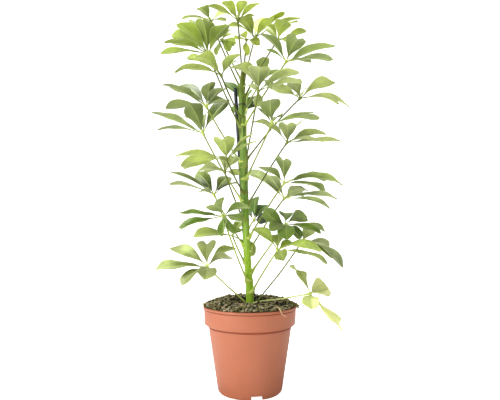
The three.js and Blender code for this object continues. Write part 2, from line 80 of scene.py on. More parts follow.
# The leaves, from the crown down: the name, the hub where the leaflets meet, the height where
# the stalk leaves the stem, how far the stalk rises above or sags below a straight line, and
# the leaflets: heading, rise, length, width, turn about its own line, and arch.
LEAVES = (
    ("leaf_01", (-16, -36, 501), 435, 3, (
        (-111, 6, 48, 14, 5, 3), (158, 32, 52, 13, 20, 3), (-78, 7, 46, 14, 0, 3),
        (-48, 11, 44, 16, 15, 3), (21, 25, 26, 8, -5, 2), (102, 34, 46, 17, 20, 3),
    )),
    ("leaf_02", (-56, 18, 524), 423, -6, (
        (-105, -1, 46, 17, 10, 3), (51, 34, 44, 16, 25, 3), (162, 12, 48, 12, -5, 4),
        (59, 21, 40, 12, -5, 2), (106, 25, 42, 16, -15, 3),
    )),
    ("leaf_03", (-42, 38, 505), 434, -4, (
        (-62, 6, 34, 13, 25, 2), (54, 33, 34, 13, 15, 2), (-42, -23, 32, 12, -85, 2),
        (-50, -47, 30, 14, 55, 2), (-121, -64, 30, 12, 5, 2),
    )),
    ("leaf_04", (-5, -10, 486), 442, 2, (
        (-87, -73, 26, 12, -30, 2), (111, 45, 22, 12, -35, 1), (138, 19, 24, 12, 10, 1),
        (43, 1, 26, 12, -35, 2),
    )),
    ("leaf_05", (7, 44, 510), 428, 4, (
        (-111, 9, 56, 21, 10, 3), (155, 32, 52, 13, 10, 5), (-58, 16, 50, 18, 5, 3),
        (-14, 18, 73, 20, 10, 4), (65, 57, 50, 18, 0, 3), (-21, 33, 56, 21, 5, 3),
    )),
    ("leaf_06", (38, -8, 486), 409, 6, (
        (-81, 4, 54, 22, -20, 3), (22, 24, 50, 18, -20, 0), (134, 52, 34, 13, -70, 2),
        (69, 18, 48, 12, 0, 3), (38, 44, 52, 19, 10, 5),
    )),
    ("leaf_07", (-56, -32, 459), 367, -4, (
        (-91, 16, 66, 24, -5, 4), (-122, 17, 64, 24, 0, 4), (163, 29, 62, 23, 20, 4),
        (-142, -1, 66, 24, 0, 4), (163, 6, 70, 20, 0, 3), (-61, 16, 62, 23, 5, 4),
        (150, 60, 60, 22, -15, 4),
    )),
    ("leaf_08", (49, -24, 451), 370, 4, (
        (-126, 18, 62, 23, -20, 4), (-79, 11, 58, 26, -25, 3), (-34, 5, 72, 26, 0, 2),
        (17, 8, 70, 22, -5, 2), (42, 12, 52, 14, 0, 3), (160, 34, 36, 12, 5, 3),
    )),
    ("leaf_09", (20, 60, 453), 389, 4, (
        (-90, 18, 54, 20, 5, 3), (43, 25, 54, 20, 30, 3), (127, 38, 52, 19, -10, 3),
        (101, 17, 56, 21, 25, 3), (72, -1, 52, 19, 15, 3),
    )),
    ("leaf_10", (11, -42, 406), 311, 3, (
        (-129, 17, 58, 21, 10, 12), (-88, 13, 58, 27, -5, 3), (-40, 10, 66, 24, -5, 5),
        (9, 14, 62, 23, -5, 4), (90, -27, 30, 13, -10, 2), (117, 25, 40, 15, -15, 2),
    )),
    ("leaf_11", (-37, -54, 423), 381, -6, (
        (-148, -7, 66, 24, 5, 7), (-117, 5, 60, 22, 20, 4), (153, 30, 62, 16, 25, 5),
        (-63, 11, 54, 20, 15, 3), (52, 42, 40, 15, 0, 2), (137, 38, 42, 16, -5, 3),
    )),
    ("leaf_12", (74, 36, 418), 322, 8, (
        (-140, 8, 56, 21, 15, 1), (-110, 12, 50, 21, 20, 3), (-42, 10, 62, 23, -20, 6),
        (-31, -17, 80, 24, -5, 7), (19, -3, 66, 18, -5, 7), (79, 24, 56, 21, -30, 3),
    )),
    ("leaf_13", (-60, -10, 394), 319, -6, (
        (-138, 13, 72, 27, -5, 4), (144, 35, 66, 24, -35, 4), (-80, 17, 58, 21, 25, 3),
        (-60, 13, 54, 20, 5, 3), (158, 3, 66, 24, 10, 4), (53, 24, 46, 17, 40, 3),
    )),
    ("leaf_14", (29, -40, 364), 295, 0, (
        (-95, 18, 56, 27, 5, 3), (-38, 5, 64, 15, 0, 0), (14, 8, 68, 18, -10, 4),
        (139, 44, 36, 13, -5, 2), (74, 22, 52, 19, -20, 3),
    )),
    ("leaf_15", (-67, 14, 362), 265, -8, (
        (-157, 17, 78, 29, 0, 2), (166, 7, 72, 18, 5, 4), (-105, 30, 60, 28, 30, 4),
        (89, 41, 60, 22, -40, 4), (20, 53, 66, 24, 40, 4), (128, 34, 56, 21, 5, 3),
    )),
    ("leaf_16", (53, 14, 349), 259, 5, (
        (-151, 22, 62, 23, -5, 7), (-95, 18, 54, 25, 0, 3), (64, 37, 62, 23, -20, 4),
        (-35, 5, 62, 23, -15, 4), (0, 1, 80, 18, -10, 1), (-34, -5, 56, 14, -10, 5),
    )),
    ("leaf_17", (-6, 66, 407), 308, 3, (
        (159, 52, 62, 23, -25, 4), (84, 46, 56, 21, -35, 3), (104, 35, 60, 22, 20, 4),
        (62, 25, 56, 21, 25, 3), (69, 40, 52, 19, -10, 3), (114, 9, 54, 20, 10, 3),
    )),
    ("leaf_18", (-29, -72, 312), 276, -6, (
        (-94, 21, 52, 25, 5, 3), (-47, 28, 54, 13, 25, 3), (-152, -1, 70, 20, 10, 4),
        (175, -8, 60, 22, 30, 4), (-32, 22, 52, 13, 10, 3),
    )),
    ("leaf_19", (-34, -26, 302), 238, -6, (
        (165, 7, 62, 23, 20, 9), (-127, -3, 52, 19, 30, 3), (-96, 29, 36, 13, -15, 2),
        (-49, 31, 34, 13, -20, 2), (-38, -13, 26, 12, 45, 2), (77, 23, 40, 14, -25, 2),
        (127, 5, 50, 18, 10, 3),
    )),
    ("leaf_20", (47, -18, 288), 213, 5, (
        (-96, 26, 60, 22, -20, 4), (-136, 18, 56, 21, 0, 3), (-22, -4, 80, 26, -15, 8),
        (-35, -13, 62, 23, 15, 3), (21, 5, 66, 18, -20, 6),
    )),
    ("leaf_21", (-53, 34, 276), 200, -6, (
        (-167, 26, 74, 20, 5, 4), (-169, 12, 67, 18, 10, 4), (131, 39, 58, 22, -45, 3),
        (67, 33, 58, 21, 20, 3), (-112, 1, 46, 17, 20, 3), (51, 21, 58, 14, 0, 3),
    )),
    ("leaf_22", (50, 24, 270), 195, 6, (
        (121, 39, 60, 22, -5, 4), (-1, -1, 78, 20, -15, 6), (-13, -14, 68, 20, -15, 4),
        (40, 16, 52, 19, 40, 6), (147, 34, 78, 26, -25, 2), (56, 6, 56, 21, 15, 3),
    )),
    ("leaf_23", (6, 58, 238), 216, 8, (
        (86, 44, 56, 21, -35, 3), (62, 29, 54, 20, 5, 3), (-69, -3, 48, 18, 65, 3),
        (120, 31, 58, 21, -5, 3),
    )),
    ("leaf_24", (-35, -52, 242), 153, -8, (
        (-100, 15, 50, 25, 40, 3), (-48, 10, 54, 20, -20, 3), (62, -7, 50, 18, -25, 3),
        (-152, 3, 60, 14, 20, 0), (-151, -16, 62, 23, -15, 1), (-70, -28, 48, 18, -20, 3),
        (-87, -30, 50, 18, 50, 3),
    )),
    ("leaf_25", (51, 14, 232), 164, 1, (
        (88, 19, 58, 22, 5, 3), (52, 10, 60, 22, 65, 4), (15, -10, 62, 23, -15, 2),
        (-36, -13, 58, 21, 15, 3), (-93, -23, 54, 24, 5, 3), (-126, 20, 58, 21, 35, -5),
        (-70, -24, 50, 18, 5, 3), (-119, -10, 50, 18, -35, 3),
    )),
    ("leaf_26", (-25, 10, 216), 178, -5, (
        (-140, -1, 66, 24, -30, 2), (67, 28, 42, 16, 15, 3), (67, 11, 42, 16, 15, 3),
        (35, -37, 48, 19, -60, 3),
    )),
    ("leaf_27", (76, 40, 205), 123, 1, (
        (59, 26, 46, 19, 45, 3), (39, -7, 62, 23, -25, 4), (-49, -23, 84, 24, -5, 10),
        (-58, -16, 72, 18, -5, 4),
    )),
    ("leaf_28", (36, -44, 197), 137, 4, (
        (133, 33, 55, 20, -20, 5), (84, 26, 48, 20, -5, 3), (-27, 0, 60, 22, 25, 8),
        (-10, -14, 67, 25, 10, 4), (-83, -13, 46, 18, 35, 3), (56, 16, 40, 15, 20, 2),
    )),
    ("leaf_29", (-57, -36, 175), 122, 3, (
        (158, 23, 62, 23, -30, 6), (95, 32, 62, 27, -5, 4), (41, 27, 54, 20, 15, 5),
        (-39, 15, 48, 18, -30, 6), (-154, -1, 70, 26, -20, 2), (-125, -22, 52, 19, -5, 3),
        (-88, -15, 48, 25, -5, 3),
    )),
    ("leaf_30", (78, -48, 141), 118, 3, (
        (125, 40, 54, 20, 5, 5), (51, 10, 42, 22, 60, 3), (-94, -19, 42, 22, 5, 3),
        (-48, -37, 66, 24, 0, 1), (47, -10, 46, 17, -20, 3),
    )),
)
# Where leaves come up through the soil beside the stem, and how deep their stalks start in it
FROM_SOIL = {"leaf_27": (13, 11), "leaf_29": (-5, -8.5), "leaf_30": (7, -9)}
STALK_SOIL_DEPTH = 5
# Up to which heights on the stem the leaves' feet are low ones and middle ones
LOW_FOOT = 125
MIDDLE_FOOT = 300
RUNNING_FOOT = 26  # how far a foot above those runs down the stem

YOUNG_FOLIAGE = (1, 2, 3, 4, 5, 6, 29, 30)

# The ages of the leaves, their tones partly their own green and partly painted light and shade set leaf by
# leaf:
# which leaves, the tones of a blade's dark patches, of its light ones and of its painted sheen where it is
# seen aslant, the share of light that comes through it, and the stalk's tone
AGES = {
    "crown": ((1, 4, 5, 6), (128, 146, 38), (216, 230, 96), (222, 234, 150), 0.24, (104, 112, 44)),
    "crown_soft": ((2, 11, 18), (108, 130, 42), (194, 212, 98), (218, 228, 154), 0.2, (96, 106, 44)),
    "young": ((3, 7), (98, 124, 26), (184, 206, 80), (218, 228, 150), 0.26, (96, 108, 44)),
    "young_low": ((26, 28), (110, 136, 38), (204, 226, 103), (220, 228, 160), 0.26, (146, 166, 74)),
    "young_grey": ((10, 12, 16, 19), (120, 137, 66), (216, 229, 136), (228, 237, 174), 0.24, (96, 108, 44)),
    "grown": ((8, 9, 14, 20), (82, 108, 33), (157, 180, 79), (211, 222, 160), 0.2, (126, 140, 58)),
    "grown_dark": ((13, 15, 21), (75, 97, 30), (145, 164, 74), (203, 212, 155), 0.2, (126, 140, 58)),
    "grown_grey": ((22, 27), (103, 124, 58), (195, 210, 125), (224, 233, 178), 0.2, (126, 140, 58)),
    "old": ((24, 25), (69, 98, 23), (133, 170, 57), (200, 213, 141), 0.18, (156, 174, 72)),
    "deep": ((17, 23), (46, 77, 10), (94, 135, 25), (165, 186, 102), 0.14, (156, 174, 72)),
    "bright": ((29,), (130, 144, 74), (212, 226, 143), (219, 226, 170), 0.34, (192, 206, 112)),
    "pale": ((30,), (208, 224, 131), (252, 252, 226), (252, 254, 209), 0.5, (190, 200, 126)),
}

# How far a stalk's sheath is paler than the stalk, by age
SHEATH_PALENESS = {"crown": 0.1, "crown_soft": 0.15, "young": 0.3, "young_grey": 0.3}
USUAL_PALENESS = 0.8

# A leaflet's rows along it, and its columns across it from edge to edge
STALK_SHARE = 0.13
STALK_ROWS = 4
BLADE_ROWS = 30
COLUMNS = (-1, -0.94, -0.78, -0.58, -0.38, -0.2, -0.07, 0, 0.07, 0.2, 0.38, 0.58, 0.78, 0.94, 1)
BLADE_THICKNESS = 0.5
EDGE_THICKNESS = 0.26
LEAFLET_STALK = (0.85, 1.3)  # half width, thickness
MIDRIB = (0.7, 0.55)  # half width, depth
# Shares of a blade's length: where it is fully flat, where its tip begins, where a waisted one is
# slimmest and how far that reaches, and where a tail narrows
FLAT_FROM = 0.12
TIP_FROM = 0.72
WAIST = (0.22, 0.18)
TAIL = (0.72, 0.88)
WAVE_LAG = 1.9  # how far the waves of one edge are behind the other's, in radians


def smooth(low, high, value):
    """0 below low, 1 above high and a soft step between."""
    share = min(max((value - low) / (high - low), 0), 1)
    return share * share * (3 - 2 * share)


def tone(red, green, blue):
    """A colour picked on a screen, as the light that the surface sends back."""
    return tuple((c / 255) ** 2.2 for c in (red, green, blue)) + (1,)


def blend_tone(first, second, share):
    """A colour part of the way from one to another."""
    return tuple(a + share * (b - a) for a, b in zip(first, second))


LEAF_GLOW = tone(255, 255, 150)


class Shape:
    """Points, faces and surface coordinates of one piece, gathered part by part."""

    def __init__(self):
        self.points = []
        self.coords = []
        self.faces = []
        self.surfaces = []

    def add(self, points, coords, faces, surface):
        """Takes in one more body, with one surface for all its faces or one for each."""
        start = len(self.points)
        self.points.extend(points)
        self.coords.extend(coords)
        self.faces.extend([start + i for i in face] for face in faces)
        self.surfaces.extend([surface] * len(faces) if isinstance(surface, int) else surface)

    def piece(self, name, materials, sharp=None):
        """The finished piece, smooth all over or with edges sharp above an angle in degrees."""
        mesh = bpy.data.meshes.new(name)
        mesh.from_pydata([point * MM for point in self.points], [], self.faces)
        for material in materials:
            mesh.materials.append(material)
        mesh.polygons.foreach_set("material_index", self.surfaces)
        mesh.polygons.foreach_set("use_smooth", [True] * len(mesh.polygons))
        layer = mesh.uv_layers.new(name="surface")
        layer.data.foreach_set("uv", [c for loop in mesh.loops for c in self.coords[loop.vertex_index]])
        if sharp is not None:
            mesh.set_sharp_from_angle(angle=math.radians(sharp))
        mesh.update()
        made = bpy.data.objects.new(name, mesh)
        bpy.context.scene.collection.objects.link(made)
        return made


def place(made, slot, *nodes):
    """The piece belongs to the plant and stands for its solids; the slot is not used."""
    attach(made, "root")
    if nodes:
        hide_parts(*nodes)
    return made


def tube(shape, line, radii, sides, surface):
    """A round rod along a line of points with its own radius at each, closed at both ends."""
    last = len(line) - 1
    points = []
    coords = []
    side = None
    for i, point in enumerate(line):
        ahead = (line[min(i + 1, last)] - line[max(i - 1, 0)]).normalized()
        side = ahead.orthogonal() if side is None else side - ahead * side.dot(ahead)
        side.normalize()
        other = ahead.cross(side)
        for k in range(sides):
            turn = 2 * math.pi * k / sides
            points.append(point + (side * math.cos(turn) + other * math.sin(turn)) * radii[i])
            coords.append((k / sides, i / last))
    faces = []
    for i in range(last):
        for k in range(sides):
            here, beside = i * sides + k, i * sides + (k + 1) % sides
            faces.append((here, beside, beside + sides, here + sides))
    for end, row in ((line[0], 0), (line[last], last)):
        centre = len(points)
        points.append(end.copy())
        coords.append((0.5, row / last))
        for k in range(sides):
            pair = (row * sides + k, row * sides + (k + 1) % sides)
            faces.append((centre, *(pair if row else pair[::-1])))
    shape.add(points, coords, faces, surface)


def turned(shape, profile, angles, surface, shift=None, shade_bands=()):
    """A closed body of revolution: a profile of (radius, height) from the axis to the axis.

    The bands of the profile in the last argument get the next surface, on the pot a painted shade."""
    inner = profile[1:-1]
    points = []
    coords = []
    for angle in angles:
        for j, (radius, height) in enumerate(inner):
            if shift is not None:
                radius, height = shift(angle, j, radius, height)
            points.append(Vector((radius * math.cos(angle), radius * math.sin(angle), height)))
            coords.append((angle / (2 * math.pi), j / len(inner)))
    count = len(inner)
    faces, surfaces = [], []
    for i in range(len(angles)):
        here, beside = i * count, (i + 1) % len(angles) * count
        for j in range(count - 1):
            faces.append((here + j, beside + j, beside + j + 1, here + j + 1))
            surfaces.append(surface + (j in shade_bands))
    for (radius, height), j, lower in ((profile[0], 0, True), (profile[-1], count - 1, False)):
        centre = len(points)
        points.append(Vector((radius, 0, height)))
        coords.append((0.5, 0.5))
        for i in range(len(angles)):
            pair = (i * count + j, (i + 1) % len(angles) * count + j)
            faces.append((centre, *(pair[::-1] if lower else pair)))
            surfaces.append(surface)
    shape.add(points, coords, faces, surfaces)


def along_table(rows, height):
    """Values of a table of rows (height, ...) at a height, on a smooth line between the rows."""
    last = len(rows) - 1
    i = next((k for k in range(last) if rows[k + 1][0] >= height), last - 1)
    low, high = rows[i], rows[i + 1]
    share = min(max((height - low[0]) / (high[0] - low[0]), 0), 1)
    return [a + share * (b - a) for a, b in zip(low[1:], high[1:])]


def soil_height(x, y):
    """The soil's surface before its crumbs: a mound heaped to the back, hollow round the stem."""
    out = math.hypot(x, y) / POT_LIP_RADIUS
    rough = (
        1.5 * math.sin(0.21 * x + 1.3) * math.cos(0.17 * y)
        + 1.1 * math.sin(0.43 * x - 0.37 * y + 0.8)
        + 0.7 * math.cos(0.71 * x + 0.64 * y)
    )
    hollow = STEM_HOLLOW * math.exp(-((out / HOLLOW_REACH) ** 2))
    mound = SOIL_MOUND + SOIL_BACK_RISE * y / POT_LIP_RADIUS
    return SOIL_CREST + mound * (1 - out**4) + rough * (1 - out**6) - hollow


# Materials

def add(tree, kind, inputs=None, **settings):
    """A node with its settings, and its inputs linked or set by name or number."""
    node = tree.nodes.new(kind)
    for key, value in settings.items():
        setattr(node, key, value)
    for key, value in (inputs or {}).items():
        if isinstance(value, bpy.types.NodeSocket):
            tree.links.new(value, node.inputs[key])
        else:
            node.inputs[key].default_value = value
    return node


def maths(tree, operation, first, second=0.0, clamp=False):
    """The result of a sum on one or two values."""
    node = add(tree, "ShaderNodeMath", {0: first, 1: second}, operation=operation, use_clamp=clamp)
    return node.outputs[0]


def blend(tree, factor, first, second, mode="MIX"):
    """Two colours mixed by a factor."""
    node = add(tree, "ShaderNodeMix", data_type="RGBA", blend_type=mode)
    for number, value in ((0, factor), (6, first), (7, second)):
        if isinstance(value, bpy.types.NodeSocket):
            tree.links.new(value, node.inputs[number])
        else:
            node.inputs[number].default_value = value
    return node.outputs[2]


def stretch(tree, value, low, high, out_low=0.0, out_high=1.0):
    """A value's range low to high mapped to another range, and held inside it."""
    names = {"Value": value, "From Min": low, "From Max": high, "To Min": out_low, "To Max": out_high}
    return add(tree, "ShaderNodeMapRange", names, clamp=True).outputs["Result"]


def new_group(name, inputs, outputs):
    """An empty shader node group with named inputs and outputs."""
    group = bpy.data.node_groups.new(name, "ShaderNodeTree")
    for label, value in inputs.items():
        socket = group.interface.new_socket(label, in_out="INPUT", socket_type="NodeSocketFloat")
        socket.default_value = value
    for label in outputs:
        group.interface.new_socket(label, in_out="OUTPUT", socket_type="NodeSocketFloat")
    return group, group.nodes.new("NodeGroupInput").outputs, group.nodes.new("NodeGroupOutput").inputs


def make_mottling():
    """Uneven growth or wear: broad patches and fine specks, by place on the plant."""
    group, given, result = new_group(
        "mottling",
        {"Patch Size": 40.0, "Speck Size": 600.0, "Upright Stretch": 1.0},
        ("Patches", "Specks"),
    )
    place_on = add(group, "ShaderNodeTexCoord").outputs["Object"]
    scale = add(group, "ShaderNodeCombineXYZ", {"X": 1.0, "Y": 1.0, "Z": given["Upright Stretch"]})
    spot = add(group, "ShaderNodeVectorMath", {0: place_on, 1: scale.outputs[0]}, operation="MULTIPLY")
    for label, size, detail in (("Patches", "Patch Size", 3.0), ("Specks", "Speck Size", 2.0)):
        cloud = add(group, "ShaderNodeTexNoise", {
            "Vector": spot.outputs[0], "Scale": given[size], "Detail": detail, "Roughness": 0.55,
        })
        group.links.new(stretch(group, cloud.outputs["Fac"], 0.3, 0.7), result[label])
    return group


def make_blade_markings():
    """A leaflet's ribs, veins, edge, tip, its hub end for painted shade, and its kind, from its surface
    coordinates.

    Across a leaflet X runs from 0 to 1, from 2 to 3 on deeper and from 4 to 5 on paler leaflets."""
    group, given, result = new_group(
        "blade_markings",
        {"Rib Width": 0.085, "Vein Count": 9.0, "Vein Slant": 3.2},
        ("Midrib", "Veins", "Edge", "Tip", "Hub Shade", "Deeper", "Paler"),
    )
    surface = add(group, "ShaderNodeTexCoord").outputs["UV"]
    parts = add(group, "ShaderNodeSeparateXYZ", {0: surface}).outputs
    kind = maths(group, "FLOOR", maths(group, "MULTIPLY", parts["X"], 0.5))
    across = maths(group, "SUBTRACT", parts["X"], maths(group, "MULTIPLY", kind, 2.0))
    out = maths(group, "ABSOLUTE", maths(group, "MULTIPLY", maths(group, "SUBTRACT", across, 0.5), 2.0))
    taper = stretch(group, parts["Y"], 0.0, 1.0, 1.6, 0.6)
    rib = maths(group, "MULTIPLY", given["Rib Width"], taper)
    midrib = maths(group, "SUBTRACT", 1.0, maths(group, "DIVIDE", out, rib), clamp=True)
    wander = add(group, "ShaderNodeTexNoise", {"Vector": surface, "Scale": 6.0, "Detail": 1.0}).outputs["Fac"]
    ahead = maths(group, "MULTIPLY", parts["Y"], given["Vein Count"])
    back = maths(group, "MULTIPLY", maths(group, "POWER", out, 0.8), given["Vein Slant"])
    phase = maths(group, "SUBTRACT", maths(group, "ADD", ahead, wander), back)
    wave = maths(group, "PINGPONG", phase, 0.5)
    vein = maths(group, "SUBTRACT", 1.0, maths(group, "DIVIDE", wave, 0.12), clamp=True)
    fade = stretch(group, out, 0.2, 0.95, 1.0, 0.15)
    group.links.new(midrib, result["Midrib"])
    group.links.new(maths(group, "MULTIPLY", vein, fade), result["Veins"])
    group.links.new(stretch(group, out, 0.86, 1.0), result["Edge"])
    group.links.new(stretch(group, parts["Y"], 0.6, 1.0), result["Tip"])
    group.links.new(stretch(group, parts["Y"], 0.0, 0.5, 1.0, 0.0), result["Hub Shade"])
    off_deeper = maths(group, "ABSOLUTE", maths(group, "SUBTRACT", kind, 1.0))
    group.links.new(maths(group, "SUBTRACT", 1.0, off_deeper, clamp=True), result["Deeper"])
    group.links.new(maths(group, "SUBTRACT", kind, 1.0, clamp=True), result["Paler"])
    return group


MOTTLING = make_mottling()
BLADE_MARKINGS = make_blade_markings()


def use_group(tree, group, **inputs):
    """A node group placed in a material, with its own values."""
    node = tree.nodes.new("ShaderNodeGroup")
    node.node_tree = group
    for label, value in inputs.items():
        node.inputs[label.replace("_", " ")].default_value = value
    return node.outputs


def new_material(name):
    """An empty material, its node tree and the socket for its surface."""
    material = bpy.data.materials.new(name)
    material.use_nodes = True
    tree = material.node_tree
    tree.nodes.clear()
    return material, tree, add(tree, "ShaderNodeOutputMaterial").inputs["Surface"]


def make_blade_material(name, dark, light, pale, rib, glow_share, roughness, vein_lift):
    """One face of the leaf blades: mottled green with pale ribs, painted shade near the hub and painted sheen
    aslant.
    """
    material, tree, output = new_material(name)
    marks = use_group(tree, BLADE_MARKINGS)
    mottle = use_group(tree, MOTTLING, Patch_Size=26.0, Speck_Size=420.0)
    uneven = maths(tree, "ADD", mottle["Patches"], maths(tree, "MULTIPLY", mottle["Specks"], 0.2), clamp=True)
    uneven = stretch(tree, uneven, 0.14, 0.9)
    # Painted shade towards the hub; on the deeper leaflets partly painted shade, partly their own darker
    # green
    deep = tuple(0.62 * part for part in dark[:3]) + (1,)
    hub_shade = maths(tree, "MULTIPLY", marks["Hub Shade"], 0.45)
    shaded = maths(tree, "ADD", hub_shade, maths(tree, "MULTIPLY", marks["Deeper"], 0.5), clamp=True)
    green = blend(tree, shaded, blend(tree, uneven, dark, light), deep)
    veined = blend(tree, maths(tree, "MULTIPLY", marks["Veins"], 0.26), green, rib)
    ribbed = blend(tree, maths(tree, "MULTIPLY", marks["Midrib"], 0.85), veined, rib)
    # Painted sheen: the face turns paler where it is seen aslant
    aslant = add(tree, "ShaderNodeLayerWeight", {"Blend": 0.5}).outputs["Facing"]
    # Painted light at the tip; at the rim and on the paler leaflets partly painted light, partly the leaf's
    # own pale edge and paler green
    edge = maths(tree, "MULTIPLY", marks["Edge"], 0.6)
    pale_rim_and_light = maths(tree, "MAXIMUM", edge, maths(tree, "MULTIPLY", marks["Tip"], 0.15))
    pale_rim_and_light = maths(tree, "MAXIMUM", pale_rim_and_light, maths(tree, "MULTIPLY", marks["Paler"], 0.35))
    paled_by_sheen_and_light = maths(tree, "ADD", stretch(tree, aslant, 0.45, 0.97, 0.0, 0.5), pale_rim_and_light, clamp=True)
    shown = blend(tree, paled_by_sheen_and_light, ribbed, pale)
    relief = maths(tree, "ADD", maths(tree, "MULTIPLY", marks["Veins"], vein_lift), mottle["Specks"])
    bump = add(tree, "ShaderNodeBump", {"Height": relief, "Strength": 0.25, "Distance": 0.0003})
    face = add(tree, "ShaderNodeBsdfPrincipled", {
        "Base Color": shown,
        "Roughness": stretch(tree, mottle["Patches"], 0.0, 1.0, roughness - 0.05, roughness + 0.09),
        "Normal": bump.outputs[0], "Specular IOR Level": 0.42,
    })
    lit = add(tree, "ShaderNodeBsdfTranslucent", {"Color": blend(tree, 1.0, shown, LEAF_GLOW, "MULTIPLY")})
    both = add(tree, "ShaderNodeMixShader", {0: glow_share, 1: face.outputs[0], 2: lit.outputs[0]})
    tree.links.new(both.outputs[0], output)
    return material


def make_stalk_material(name, middle, ends):
    """A leaf stalk, paler at its sheath and at the hub."""
    material, tree, output = new_material(name)
    surface = add(tree, "ShaderNodeTexCoord").outputs["UV"]
    along = add(tree, "ShaderNodeSeparateXYZ", {0: surface}).outputs["Y"]
    mottle = use_group(tree, MOTTLING, Patch_Size=90.0, Speck_Size=700.0, Upright_Stretch=0.4)
    foot = stretch(tree, along, 0.02, 0.16, 1.0, 0.0)
    head = stretch(tree, along, 0.9, 0.99)
    pale = maths(tree, "MAXIMUM", foot, head)
    shade = maths(tree, "ADD", pale, maths(tree, "MULTIPLY", mottle["Patches"], 0.35), clamp=True)
    bump = add(tree, "ShaderNodeBump", {"Height": mottle["Specks"], "Strength": 0.2, "Distance": 0.0002})
    face = add(tree, "ShaderNodeBsdfPrincipled", {
        "Base Color": blend(tree, shade, middle, ends),
        "Roughness": stretch(tree, mottle["Patches"], 0.0, 1.0, 0.38, 0.52),
        "Normal": bump.outputs[0], "Specular IOR Level": 0.25,
    })
    tree.links.new(face.outputs[0], output)
    return material


def make_plain_material(name, dark, light, roughness, bump_depth, patch, speck=900.0, upright=1.0):
    """A surface with uneven colour, roughness and fine relief."""
    material, tree, output = new_material(name)
    mottle = use_group(tree, MOTTLING, Patch_Size=patch, Speck_Size=speck, Upright_Stretch=upright)
    patches = maths(tree, "MULTIPLY", mottle["Patches"], 0.7)
    shade = maths(tree, "ADD", patches, maths(tree, "MULTIPLY", mottle["Specks"], 0.3), clamp=True)
    bump = add(tree, "ShaderNodeBump", {"Height": mottle["Specks"], "Strength": 0.5, "Distance": bump_depth})
    face = add(tree, "ShaderNodeBsdfPrincipled", {
        "Base Color": blend(tree, shade, dark, light),
        "Roughness": stretch(tree, mottle["Patches"], 0.0, 1.0, roughness - 0.06, roughness + 0.06),
        "Normal": bump.outputs[0],
    })
    tree.links.new(face.outputs[0], output)
    return material


def make_stem_material():
    """The green stem: bright at its foot, greyer higher up, with pale upright streaks and dark streaks of
    painted shade among the leaves.
    """
    material, tree, output = new_material("stem_green")
    place_on = add(tree, "ShaderNodeTexCoord").outputs["Object"]
    height = add(tree, "ShaderNodeSeparateXYZ", {0: place_on}).outputs["Z"]
    mottle = use_group(tree, MOTTLING, Patch_Size=260.0, Speck_Size=1300.0, Upright_Stretch=0.07)
    ramp = add(tree, "ShaderNodeValToRGB", {0: stretch(tree, height, 0.12, 0.45)})
    stops = ramp.color_ramp.elements
    stops[0].color = tone(158, 200, 48)
    stops[1].color = tone(116, 138, 52)
    for spot, colour in ((0.2, tone(156, 196, 54)), (0.42, tone(110, 146, 58)), (0.78, tone(128, 158, 74))):
        stops.new(spot).color = colour
    streaks = stretch(tree, mottle["Patches"], 0.5, 1.0, 0.0, 0.6)
    streaked = blend(tree, streaks, ramp.outputs[0], tone(196, 214, 130))
    # Painted shade: dark upright streaks on the upper stem among the leaves' feet
    dark_patches = stretch(tree, mottle["Patches"], 0.0, 0.4, 0.8, 0.0)
    shade_gaps = maths(tree, "MULTIPLY", dark_patches, stretch(tree, height, 0.24, 0.36, 0.25, 1.0))
    shade_streaked = blend(tree, shade_gaps, streaked, tone(48, 66, 34))
    bump = add(tree, "ShaderNodeBump", {"Height": mottle["Specks"], "Strength": 0.3, "Distance": 0.0003})
    face = add(tree, "ShaderNodeBsdfPrincipled", {
        "Base Color": shade_streaked,
        "Roughness": stretch(tree, mottle["Specks"], 0.0, 1.0, 0.4, 0.55),
        "Normal": bump.outputs[0], "Specular IOR Level": 0.2,
    })
    tree.links.new(face.outputs[0], output)
    return material


def make_leaf_materials():
    """For each leaf: the upper face, the underside, the stalk and a blade in the dark."""
    rib = tone(206, 220, 130)
    pale_sheath = tone(206, 222, 110)
    in_shade = make_blade_material(
        "leaf_in_shade", tone(30, 52, 22), tone(44, 68, 30), tone(90, 112, 70), tone(70, 92, 50),
        0.1, 0.45, 0.6,
    )
    materials = {}
    for age, (leaves, *tones, glow_share, stalk_tone) in AGES.items():
        dark, light, pale = (tone(*values) for values in tones)
        stalk = tone(*stalk_tone)
        upper = make_blade_material(f"leaf_upper_{age}", dark, light, pale, rib, glow_share, 0.4, 0.6)
        dark, light = blend_tone(dark, pale, 0.18), blend_tone(light, pale, 0.18)
        under = make_blade_material(f"leaf_under_{age}", dark, light, pale, rib, glow_share, 0.55, 1.0)
        sheath = blend_tone(stalk, pale_sheath, SHEATH_PALENESS.get(age, USUAL_PALENESS))
        stalks = make_stalk_material(f"leaf_stalk_{age}", stalk, sheath)
        materials.update({number: (upper, under, stalks, in_shade) for number in leaves})
    return materials


# Leaves

def heading_vector(heading, rise):
    """The direction of a heading, seen from above, and a rise."""
    turn, lift = math.radians(heading), math.radians(rise)
    return Vector((math.cos(lift) * math.cos(turn), math.cos(lift) * math.sin(turn), math.sin(lift)))


